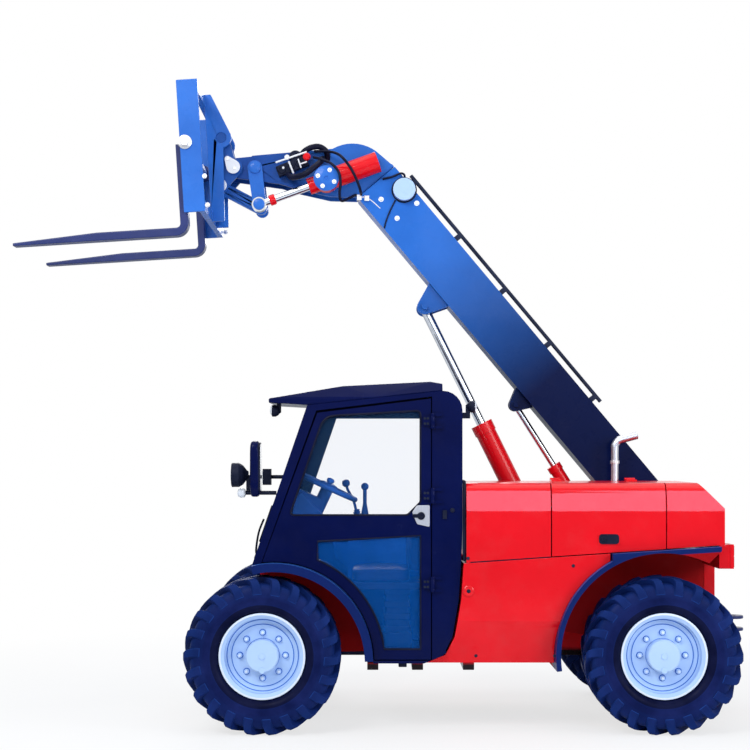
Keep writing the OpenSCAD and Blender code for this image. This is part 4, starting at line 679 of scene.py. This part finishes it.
def rim_trim(body, code, centre, out):
    """Flange lip in a paler copy of the rim paint as a painted highlight, dark rings on the disc
    and round the hub as painted shade, and dark washers as painted shadow at the bolts, with pale
    stud ends.
    """
    bm = bmesh.new()
    # Painted highlight: a pale ring on the flange lip
    lip = [(0.2195, 0.1246), (0.2305, 0.1246), (0.2305, 0.1264), (0.2285, 0.1274), (0.2205, 0.1266)]
    lathe(bm, centre, out, lip, 72, closed=True)
    piece("rim_lip_" + code, bm, RIM_HIGHLIGHT, body)

    bm = bmesh.new()
    # Painted shade: dark rings at the disc's steps and round the hub
    for r0, r1, above in SHADE_RINGS:
        face = DISC_FACE + above
        groove = [(r0, face - 0.002), (r1, face - 0.001), (r1, face + 0.002), (r0, face + 0.001)]
        lathe(bm, centre, out, groove, 64, closed=True)
    bolts = circle(centre, Vector(AHEAD), Vector(UP), BOLT_RING, BOLTS)
    # Dark washers round the bolts: painted shadow of the bolts
    washer = [(0.0140, 0.0), (0.0185, 0.0), (0.0185, 0.0045), (0.0140, 0.0045)]
    for place in bolts:
        lathe(bm, place + out * (DISC_FACE - 0.002), out, washer, 20, closed=True)
    piece("rim_shade_rings_" + code, bm, BLUE, body)

    bm = bmesh.new()
    for place in bolts:
        foot, top = place + out * (DISC_FACE + 0.0145), place + out * (DISC_FACE + 0.024)
        drum(bm, foot, top, 0.0075, 14, 0.0015)
    piece("rim_studs_" + code, bm, RIM_HIGHLIGHT, body)


def wheels():
    """Dressed tyre, two plugs on the hub, and the rim's trim of each wheel."""
    for name, code in WHEELS.items():
        centre = Vector(JOINTS["spin_" + name]["pos_m"])
        body = "wheel_" + name
        out = Vector((0, 1 if centre.y > 0 else -1, 0))
        piece("lugged_tyre_" + code, tyre_mesh(centre, out), (TYRE, SHADED_TYRE), body, bevel=0.004,
              stands_for=["tyre_" + code])
        bm = bmesh.new()
        for drop in (0.0, 0.074):
            face = centre + out * 0.126 - Vector(UP) * drop
            drum(bm, face, face + out * 0.004, 0.017, 20, 0.001)
        piece("hub_plugs_" + code, bm, RIM, body)
        rim_trim(body, code, centre, out)


# Boom and carriage

# Hoses of the boom's head: radius, sides, and the places they run through
HEAD_HOSES = (
    (0.017, 12, ((-96, 26, 3122), (-126, 92, 3090), (-193, 134, 3098), (-246, 138, 3134),
                 (-286, 96, 3176), (-298, 20, 3208), (-300, -16, 3214))),
    (0.017, 12, ((-168, 24, 3206), (-192, 40, 3246), (-236, 46, 3270), (-284, 32, 3276),
                 (-322, 8, 3250), (-326, -16, 3206))),
    (0.008, 10, ((-252, 34, 3250), (-340, 70, 3242), (-404, 138, 3208), (-459, 146, 3142),
                 (-494, 146, 3076), (-516, 122, 3022), (-524, 60, 2994))),
    (0.008, 10, ((-250, 50, 3212), (-299, 108, 3190), (-355, 152, 3158), (-394, 160, 3112),
                 (-406, 160, 3054), (-400, 150, 2985), (-412, 124, 2950), (-462, 66, 2978),
                 (-486, 20, 2998), (-492, -14, 3004))),
)
# Levers and buttons of the coupler: two ends, from its middle and its left face, then radius,
# sides and chamfer
COUPLER_LEVERS = (
    ((96, 8, 16), (-84, 8, 78), 0.0055, 12, 0.001),
    ((20, 12, 22), (-8, 12, -48), 0.0055, 12, 0.001),
    ((-34, 12, 36), (-52, 12, -16), 0.0045, 12, 0.001),
    ((-40, 12, 4), (-86, 12, 20), 0.0045, 12, 0.001),
    ((30, -2, 46), (30, 16, 46), 0.015, 18, 0.003),
    ((52, -4, -14), (52, 10, -14), 0.007, 14, 0.002),
)
COUPLER_TILT = 21.4
# The tilt cylinder's trunnion, and its rod's eye and direction
TRUNNION = (-324.2, 140.0, 3077.6)
ROD_EYE = (65.4, 2936.7)
ROD_AXIS = Vector((-0.940, 0.0, 0.340))


def head_hoses():
    """Thick and thin hoses that loop around the boom's head."""
    bm = bmesh.new()
    for radius, steps, places in HEAD_HOSES:
        tube(bm, run(*places), radius, steps, 6)
    piece("head_hoses", bm, HOSE, "boom_slide")


def coupler():
    """Hose coupler with its sockets, levers and dust cap."""
    low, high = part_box("aux_coupler")
    mid = (Vector(low) + Vector(high)) / 2
    face = high[1] - mid.y

    def on(x, y, z):
        return mid + Vector((x / 1000.0, face + y / 1000.0, z / 1000.0))

    bm = bmesh.new()
    tilt = Matrix.Rotation(math.radians(COUPLER_TILT), 4, "Y")
    box(bm, (-0.094, -face, -0.030), (0.094, face - 0.003, 0.030), Matrix.Translation(mid) @ tilt)
    r = 0.024
    socket = [(r, 0.0), (r, 0.006), (r * 0.86, 0.010), (r * 0.6, 0.010), (r * 0.55, 0.004)]
    for x, z in ((62, -22), (12, -3), (-38, 17)):
        lathe(bm, on(x, -4, z), LEFT, socket, 24)
    knob = [(0.036, 0.0), (0.038, 0.006), (0.038, 0.030), (0.032, 0.036)]
    lathe(bm, on(-18, -40, 52), LEFT, knob, 28)
    piece("coupler_block", bm, BLACK, "boom_slide", bevel=0.006, segments=3,
          stands_for=["aux_coupler"])

    bm = bmesh.new()
    for p, q, radius, steps, edge in COUPLER_LEVERS:
        drum(bm, on(*p), on(*q), radius, steps, edge)
    piece("coupler_levers", bm, WHITE, "boom_slide")

    bm = bmesh.new()
    cap = [(0.021, 0.0), (0.022, 0.004), (0.022, 0.020), (0.015, 0.026)]
    lathe(bm, on(-84, -10, 50), LEFT, cap, 24)
    piece("coupler_dust_cap", bm, RED, "boom_slide")


def tilt_fittings():
    """Trunnion cap, collar, pin caps and keepers around the tilt cylinder and its rocker."""
    hub = spot(*TRUNNION)
    bm = bmesh.new()
    cap = [(0.071, 0.0), (0.073, 0.001), (0.073, 0.006),
           (0.070, 0.008), (0.012, 0.008), (0.011, 0.003)]
    lathe(bm, hub, LEFT, cap, 48)
    piece("trunnion_cap", bm, BLUE, "tilt_barrel")

    bm = bmesh.new()
    for angle in (113, 205, 295, 15):
        a = math.radians(angle)
        foot = hub + Vector((0.050 * math.cos(a), 0.008, 0.050 * math.sin(a)))
        hexagon(bm, foot, LEFT, 0.0085, 0.007)
    piece("trunnion_bolts", bm, ZINC, "tilt_barrel")

    bm = bmesh.new()
    collar = [(0.027, 0.0), (0.031, 0.004), (0.031, 0.030), (0.027, 0.036)]
    lathe(bm, spot(ROD_EYE[0], 60.0, ROD_EYE[1]) + ROD_AXIS * 0.064, ROD_AXIS, collar, 32)
    piece("rod_collar", bm, RED, "tilt_rod")

    bm = bmesh.new()
    cap = [(0.031, 0.0), (0.033, 0.002), (0.033, 0.008), (0.028, 0.011), (0.008, 0.011)]
    lathe(bm, spot(ROD_EYE[0], 85.4, ROD_EYE[1]), LEFT, cap, 36)
    cap = [(0.033, 0.0), (0.034, 0.002), (0.034, 0.010), (0.028, 0.014), (0.010, 0.014)]
    lathe(bm, spot(94.5, 14.0, 3159.6), LEFT, cap, 36)
    piece("rocker_pin_caps", bm, BLUE, "rocker")

    bm = bmesh.new()
    plate(bm, teardrop((217.7, 3159.4), 40, 56, 17, 54), 40.2, 46)
    plate(bm, teardrop((291.6, 3055.3), 36, 46, 15, 70), 18.2, 24)
    piece("pin_keepers", bm, WHITE, "carriage", bevel=0.002)

    bm = bmesh.new()
    for place in run((250, 46, 3204), (210, 46, 3150), (307, 24, 3098), (288, 24, 3046)):
        hexagon(bm, place, LEFT, 0.006, 0.007)
    piece("keeper_bolts", bm, ZINC, "carriage")


def carriage_fittings():
    """Shaft nuts and bolts on both sides of the fork carriage."""
    bm = bmesh.new()
    for side, y in CARRIAGE_SIDES.items():
        out = Vector((0, side, 0))
        centre = carried(228, y, 78)
        lathe(bm, centre, out, [(0.038, 0.0), (0.039, 0.002), (0.039, 0.007), (0.035, 0.009)], 36)
        lathe(bm, centre + out * 0.009, out, [(0.026, 0.0), (0.026, 0.014), (0.022, 0.017)], 6)
        for place in run((341, y, 3035), (324, y, 2875)):
            hexagon(bm, place, out, 0.009, 0.010)
    piece("shaft_nuts", bm, ZINC, "carriage")


def boom_fittings():
    """Wear-pad bolts, pipes and cables along the boom."""
    bm = bmesh.new()
    for side, y in BOOM_SIDES.items():
        for place in run((-639, y, 2975), (-732, y, 2865), (-846, y, 2952)):
            hexagon(bm, place, (0, side, 0), 0.010, 0.010)
    piece("pad_bolts", bm, ZINC, "boom")

    bm = bmesh.new()
    ring = [(0.0665, 0.0), (0.074, 0.0), (0.074, 0.008), (0.0665, 0.008)]
    lathe(bm, spot(-773, BOOM_SIDES[1], 3028), LEFT, ring, 48, closed=True)
    cable = run((-648, 16, 3092), (-704, 22, 3104), (-750, 30, 3122), (-772, 30, 3116),
                (-776, 22, 3098))
    tube(bm, cable, 0.0065, 10, 5)
    cable = run((-722, 14, 2970), (-690, 14, 2905), (-668, 14, 2848), (-658, 14, 2806))
    tube(bm, cable, 0.0042, 8, 5)
    piece("boom_cables", bm, HOSE, "boom")

    bm = bmesh.new()
    for y, up in ((-20, 0), (4, 10)):
        pipe = ((-500, 2972), (-548, 2978), (-590, 2952), (-634, 2912))
        tube(bm, [spot(x, y, z + up) for x, z in pipe], 0.007, 10, 5)
    for x, z in ((-512, 2985), (-556, 2980)):
        block(bm, (x - 14, -30, z - 16), (x + 14, 22, z + 16))
    piece("head_pipes", bm, ZINC, "boom_slide", bevel=0.002)


# Cab

STEERING_AXIS = (-0.4226, 0.0, 0.9063)
DASH = ((-140, 1008), (-138, 1120), (-160, 1250), (-196, 1296),
        (-238, 1236), (-300, 1180), (-330, 1120), (-300, 1008))


def seat():
    """Base with bellows, and two cushions."""
    bm = bmesh.new()
    block(bm, (-806, 262, 421), (-640, 598, 520))
    for k in range(7):
        inset = 10 if k % 2 else 0
        low, high = 520 + 34 * k, 556 + 34 * k
        block(bm, (-796 + inset, 272 + inset, low), (-650 - inset, 588 - inset, high))
    block(bm, (-872, 205, 758), (-486, 655, 800))
    piece("seat_base", bm, BLACK, "chassis", bevel=0.006, stands_for=["seat"])

    bm = bmesh.new()
    pad(bm, spot(-800, 196, 796), spot(-472, 664, 874), 0.014, (-0.55, 0.55))
    piece("seat_cushion", bm, VINYL, "chassis", smooth=60)

    bm = bmesh.new()
    lean = Matrix.Rotation(math.radians(84), 3, "Y")
    pad(bm, spot(-995, 196, 980), spot(-665, 664, 1052), 0.016, (-0.5, 0.5), turn=lean)
    piece("seat_back", bm, VINYL, "chassis", smooth=60)


def controls():
    """Steering knob and hub on the dash, lining of the cab, and the bent lever with its boot."""
    bm = bmesh.new()
    knob = [(0.008, 0.0), (0.008, 0.026), (0.019, 0.032),
            (0.023, 0.042), (0.019, 0.052), (0.008, 0.056)]
    lathe(bm, spot(-341, 586, 1313), STEERING_AXIS, knob, 24)
    hub = [(0.052, 0.0), (0.056, 0.008), (0.050, 0.020), (0.024, 0.026)]
    lathe(bm, spot(-341, 430, 1313), STEERING_AXIS, hub, 32)
    plate(bm, fillet(DASH, [10, 40, 40, 18, 40, 40, 30, 10]), 330, 530)
    piece("dash_pod", bm, LINING, "chassis", bevel=0.006)

    bm = bmesh.new()
    wall = [(-1020, 430), (-660, 430)] + arc(ARCH, 600, 174, 122, 8) + [(-360, 990), (-1020, 990)]
    plate(bm, wall, 115.4, 119)
    plate(bm, rounded((-1010, 421), (-670, 432), 3, 3), 190, 735)
    piece("cab_lining", bm, LINING, "chassis", bevel=0.0015)

    bm = bmesh.new()
    for k in range(5):
        r = 0.032 - 0.0036 * k
        fold = [(r * 0.8, 0.0), (r, 0.004), (r, 0.008), (r * 0.78, 0.012)]
        lathe(bm, spot(-500, 147, 1120 + 12 * k), (0.2, 0.0, 1.0), fold, 24)
    lever = run((-496, 147, 1168), (-480, 147, 1230), (-448, 147, 1290), (-440, 147, 1318))
    tube(bm, lever, 0.008, 12, 5)
    knob = [(0.010, 0.0), (0.021, 0.010), (0.023, 0.024), (0.018, 0.038), (0.006, 0.043)]
    lathe(bm, spot(-440, 147, 1308), (0.15, 0.0, 1.0), knob, 24)
    piece("control_lever", bm, LINING, "chassis")


def cab_seals():
    """Seals of the door's panes, of the door opening and of the cab's back."""
    upper = fillet([(-144.4, 1170), (-327.3, 1700), (-845, 1730), (-845, 1240), (-775, 1170)],
                   [18, 90, 24, 30, 30])
    low_z = 452.0
    r = ARCH_R + 62
    start = 180 - math.degrees(math.asin((low_z - ARCH[1]) / r))
    round_edge = arc(ARCH, r, start, 113, 14)
    lower = [(-845, low_z)] + round_edge + [(round_edge[-1][0], 1029), (-845, 1060)]
    bm = bmesh.new()
    for outline in (upper, lower):
        cord(bm, outline, 799.0, 0.0055, 8)
    piece("door_seals", bm, HOSE, "door")

    bm = bmesh.new()
    opening = [(-904, 393)] + arc(ARCH, ARCH_R + 3, 179.1, 82.7, 24) + [(-289, 1724), (-904, 1800)]
    cord(bm, opening, 742.0, 0.012, 10)
    piece("door_opening_seal", bm, HOSE, "chassis")

    bm = bmesh.new()
    back = ((806, 926), (806, 1060), (806, 1200), (804, 1318),
            (784, 1344), (740, 1348), (400, 1348), (130, 1348))
    tube(bm, [spot(-1080, y, z) for y, z in back], 0.0094, 10, 3)
    piece("cab_rear_seal", bm, HOSE, "chassis")


def door_fittings():
    """Lock, hinge bolts and handle of the door, and what it closes against."""
    bm = bmesh.new()
    lock = fillet([(-800, 1186), (-826, 1222), (-894, 1224), (-894, 1106), (-826, 1122)],
                  [12, 14, 8, 8, 14])
    plate(bm, lock, DOOR_FACE, 806)
    piece("door_lock", bm, STEEL, "door", bevel=0.002)

    bm = bmesh.new()
    for z in (800, 1274, 1674):
        for x in (-884, -868):
            for dz in (-14, 14):
                hexagon(bm, spot(x, HINGE_FACE, z + dz), LEFT, 0.0048, 0.006)
    piece("hinge_bolts", bm, IRON, "door")

    bm = bmesh.new()
    barrel = [(0.020, 0.0), (0.021, 0.003), (0.021, 0.012),
              (0.016, 0.015), (0.006, 0.015), (0.005, 0.010)]
    lathe(bm, spot(-848, LOCK_FACE, 1166), LEFT, barrel, 28)
    block(bm, (-832, LOCK_FACE, 1156), (-806, 818, 1176))
    piece("door_handle", bm, BLACK, "door", bevel=0.003)

    bm = bmesh.new()
    block(bm, (-986, DOOR_FACE, 1150), (-964, 812, 1196))
    stud = [(0.012, 0.0), (0.012, 0.006), (0.008, 0.009)]
    lathe(bm, spot(-1016, DOOR_FACE, 1196), LEFT, stud, 20)
    block(bm, (-772, 690, 352), (-728, 770, 374.8))
    piece("cab_stops", bm, BLACK, "chassis", bevel=0.003)


# Lamps and body

# Middles of the lamps' mouths, and for those on the roof which way they face
HEAD_LAMPS = ((163, 776, 1385), (23, -530, 1030))
ROOF_LAMPS = (((-42, 670, 1735), 1), ((-1144, 670, 1754), -1))
# Screws of the body panels: X, Z and side
PANEL_SCREWS = (
    (-1098, 940, 1), (-1660, 900, 1), (-1560, 420, 1), (-1140, 420, 1),
    (-640, 860, -1), (-1780, 860, -1), (-640, 420, -1), (-1400, 420, -1),
    (-2430, 1050, -1), (-1680, 1050, -1), (-2430, 1160, -1), (-1680, 1160, -1),
)
PORT = (-1101, SIDE_FACE, 765)
VENTS = 7


def lamps():
    """Lenses, indicator, bezels, wiper and mirror."""
    bm = bmesh.new()
    lenses = [(place, 0.058, 1) for place in HEAD_LAMPS]
    lenses += [(place, 0.028, facing) for place, facing in ROOF_LAMPS]
    for place, r, facing in lenses:
        dome = [(r, -0.002), (r, 0.001), (r * 0.9, 0.005), (r * 0.6, 0.009), (r * 0.2, 0.011)]
        lathe(bm, spot(*place), (facing, 0, 0), dome, 36)
    indicator = [(0.017, 0.0), (0.024, 0.006), (0.025, 0.028), (0.018, 0.040), (0.006, 0.044)]
    lathe(bm, spot(94, 776, 1288), AHEAD, indicator, 28)
    block(bm, (41, 78, 1330), (45, 132, 1400))
    piece("lamp_lenses", bm, LENS, "chassis", bevel=0.0015)

    bm = bmesh.new()
    bezel = [(0.0565, -0.006), (0.0655, -0.006), (0.0655, 0.003), (0.0595, 0.006), (0.0565, 0.003)]
    for place in HEAD_LAMPS:
        lathe(bm, spot(*place), AHEAD, bezel, 40, closed=True)
    tube(bm, run((52, 420, 934), (60, 428, 960), (44, 448, 1060), (14, 470, 1136)), 0.006, 10, 5)
    tube(bm, run((36, 440, 1010), (0, 470, 1110), (-36, 500, 1210)), 0.008, 10, 4)
    wiper_hub = [(0.020, -0.012), (0.022, 0.004), (0.016, 0.014)]
    lathe(bm, spot(54, 420, 926), (0.94, 0.0, 0.33), wiper_hub, 24)
    piece("wiper_and_bezels", bm, BLACK, "chassis")

    bm = bmesh.new()
    mirror = rounded((758, 1298), (886, 1552), 26)
    loft(bm, [[spot(x, y, z) for y, z in mirror] for x in (9.2, 7.0)])
    piece("mirror_glass", bm, CHROME, "chassis", bevel=0.001)

    bm = bmesh.new()
    pad(bm, spot(10.5, 746, 1269), spot(66, 898, 1567), 0.0, cells=(10, 18, 30), power=5.0)
    piece("mirror_shell", bm, NAVY, "chassis", smooth=60)

    bm = bmesh.new()
    for y0, y1 in ((628, 762), (-762, -628)):
        for z0, z1 in ((888, 946), (950, 1004)):
            block(bm, (-2534, y0, z0), (-2529.8, y1, z1))
    piece("tail_lenses", bm, TAIL_LENS, "chassis", bevel=0.0015)


def body_fittings():
    """Latch, seam, port, screws, vents, filler cap, and the exhaust's clamp and mouth."""
    bm = bmesh.new()
    latch_face = LID_FACE + 2
    plate(bm, rounded((-1904, 1016), (-1796, 1070), 20), LID_FACE, latch_face)
    lock = [(0.016, 0.0), (0.016, 0.004), (0.012, 0.007), (0.004, 0.007), (0.004, 0.003)]
    lathe(bm, spot(-1822, latch_face, 1043), LEFT, lock, 24)
    piece("hood_latch", bm, BLACK, "hood_lid", bevel=0.002)

    bm = bmesh.new()
    seam = [spot(x, 823.0, 917.0 - (x + 1090) * HOOD_SLOPE) for x in (-1094, -1250, -1400, -1540)]
    tube(bm, seam, 0.005, 8, 2)
    piece("hood_seam_seal", bm, HOSE, "chassis")

    bm = bmesh.new()
    ring = [(0.011, 0.0), (0.030, 0.0), (0.030, 0.005), (0.024, 0.008), (0.011, 0.006)]
    lathe(bm, spot(*PORT), LEFT, ring, 36, closed=True)
    piece("side_port", bm, RED, "chassis")

    bm = bmesh.new()
    lathe(bm, spot(*PORT), LEFT, [(0.0108, 0.0), (0.0108, 0.003), (0.006, 0.0035)], 20)
    screw = [(0.009, 0.0), (0.009, 0.002), (0.006, 0.005), (0.002, 0.005)]
    for x, z, side in PANEL_SCREWS:
        lathe(bm, spot(x, SIDE_FACE * side, z), (0, side, 0), screw, 18)
    piece("panel_screws", bm, IRON, "chassis")

    bm = bmesh.new()
    for k in range(VENTS):
        x = -2360 + 86 * k
        plate(bm, rounded((x, 1072), (x + 62, 1138), 8), -SIDE_FACE, -833)
    cap = [(0.046, 0.0), (0.048, 0.004), (0.048, 0.022), (0.040, 0.030), (0.012, 0.032)]
    lathe(bm, spot(-760, -700, 900.2), UP, cap, 28)
    piece("right_vents_and_cap", bm, BLACK, "chassis", bevel=0.002)

    bm = bmesh.new()
    clamp = [(0.0226, 0.0), (0.0270, 0.001), (0.0270, 0.019), (0.0226, 0.020)]
    lathe(bm, spot(-1982, 108, 1440), UP, clamp, 36, closed=True)
    block(bm, (-1998, 66, 1443), (-1966, 82, 1457))
    piece("exhaust_clamp", bm, ZINC, "chassis", bevel=0.001)

    bm = bmesh.new()
    mouth = [(0.0185, 0.0), (0.0185, 0.0012), (0.010, 0.0016)]
    lathe(bm, spot(-2110.2, 108, 1604.0), (-0.966, 0.0, 0.259), mouth, 28)
    piece("exhaust_mouth", bm, BLACK, "chassis")


# Stage

# The photo's camera: width of the picture, focal length and shifts in pixels, and its place
PICTURE = 750.0
FOCAL = 1755.0
SHIFT = (5.0, 77.0)
EYE = (0.0899, 10.2, 1.508)
SENSOR = 36.0
FLOOR_HALF = 60
# Area lamps: name, place, target, width and height, power and colour
STUDIO = (
    ("key", (3.5, 6.5, 6.5), (0.0, 0.0, 1.4), (4.0, 3.0), 400, (1.0, 1.0, 1.0)),
    ("sheen", (-1.9, 6.8, 3.35), (-1.1, 0.8, 1.29), (3.0, 1.1), 84, (0.55, 0.68, 1.0)),
    ("top", (-0.5, 0.5, 7.5), (-0.5, 0.0, 0.0), (6.0, 4.0), 130, (1.0, 1.0, 1.0)),
    ("fill", (-5.5, 5.0, 3.0), (-0.3, 0.0, 1.3), (3.0, 3.0), 160, (1.0, 1.0, 1.0)),
    ("back", (1.0, -7.0, 5.0), (0.0, 0.0, 1.5), (5.0, 3.0), 220, (1.0, 1.0, 1.0)),
)


def camera(scene):
    """Level camera that looks at the left side, as the photo does."""
    lens = bpy.data.cameras.new("camera")
    lens.sensor_width = SENSOR
    lens.lens = SENSOR * FOCAL / PICTURE
    lens.shift_x, lens.shift_y = (shift / PICTURE for shift in SHIFT)
    lens.clip_end = 200.0
    eye = bpy.data.objects.new("camera", lens)
    eye.location = EYE
    eye.rotation_euler = (math.pi / 2, 0.0, math.pi)
    scene.collection.objects.link(eye)
    scene.camera = eye


def pale_floor(scene):
    """Floor that keeps the shadow near the object and turns white away from it."""
    mesh = bpy.data.meshes.new("floor")
    f = FLOOR_HALF
    mesh.from_pydata([(-f, -f, 0), (f, -f, 0), (f, f, 0), (-f, f, 0)], [], [(0, 1, 2, 3)])
    floor = bpy.data.objects.new("floor", mesh)
    scene.collection.objects.link(floor)
    s = Shader("pale_floor")
    tint = s.drift(0.8, (0.90, 0.91, 0.92), (0.86, 0.87, 0.88))
    s.set(Base_Color=tint, Roughness=0.75, Specular_IOR_Level=0.2)
    glow = s.node("ShaderNodeEmission")
    glow.inputs["Strength"].default_value = 1.0
    far = s.node("ShaderNodeVectorMath", operation="LENGTH")
    s.link(s.coord, far.inputs[0])
    away = s.spread(far.outputs["Value"], 0.72, 1.0, 1.8, 5.0)
    path = s.node("ShaderNodeLightPath")
    blend = s.node("ShaderNodeMixShader")
    s.link(s.times(path.outputs["Is Camera Ray"], away), blend.inputs[0])
    s.link(s.bsdf.outputs[0], blend.inputs[1])
    s.link(glow.outputs[0], blend.inputs[2])
    s.link(blend.outputs[0], s.tree.nodes["Material Output"].inputs["Surface"])
    mesh.materials.append(s.material)


def studio_world(scene):
    """Soft light from all round; camera, glossy and transmission rays see white."""
    world = bpy.data.worlds.new("studio")
    world.use_nodes = True
    scene.world = world
    tree = world.node_tree

    def either(a, b):
        made = tree.nodes.new("ShaderNodeMath")
        made.operation = "MAXIMUM"
        tree.links.new(a, made.inputs[0])
        tree.links.new(b, made.inputs[1])
        return made.outputs[0]

    soft = tree.nodes["Background"]
    soft.inputs["Color"].default_value = (0.80, 0.88, 1.0, 1.0)
    soft.inputs["Strength"].default_value = 0.34
    white = tree.nodes.new("ShaderNodeBackground")
    white.inputs["Color"].default_value = (1.0, 1.0, 1.0, 1.0)
    white.inputs["Strength"].default_value = 1.0
    path = tree.nodes.new("ShaderNodeLightPath")
    bounced = either(path.outputs["Is Glossy Ray"], path.outputs["Is Transmission Ray"])
    pick = tree.nodes.new("ShaderNodeMixShader")
    tree.links.new(either(path.outputs["Is Camera Ray"], bounced), pick.inputs[0])
    tree.links.new(soft.outputs[0], pick.inputs[1])
    tree.links.new(white.outputs[0], pick.inputs[2])
    tree.links.new(pick.outputs[0], tree.nodes["World Output"].inputs["Surface"])


def studio_lamps(scene):
    """Soft area lamps, each aimed at a point."""
    for name, place, target, size, power, colour in STUDIO:
        light = bpy.data.lights.new(name, "AREA")
        light.shape = "RECTANGLE"
        light.size, light.size_y = size
        light.energy = power
        light.color = colour
        obj = bpy.data.objects.new(name, light)
        obj.location = place
        aim = Vector(target) - Vector(place)
        obj.rotation_euler = aim.to_track_quat("-Z", "Y").to_euler()
        scene.collection.objects.link(obj)


def stage():
    """View, floor and light."""
    scene = bpy.context.scene
    scene.view_settings.view_transform = "Standard"
    camera(scene)
    pale_floor(scene)
    studio_world(scene)
    studio_lamps(scene)


stage()
dress_cad()
wheels()
head_hoses()
coupler()
tilt_fittings()
carriage_fittings()
boom_fittings()
seat()
controls()
cab_seals()
door_fittings()
lamps()
body_fittings()
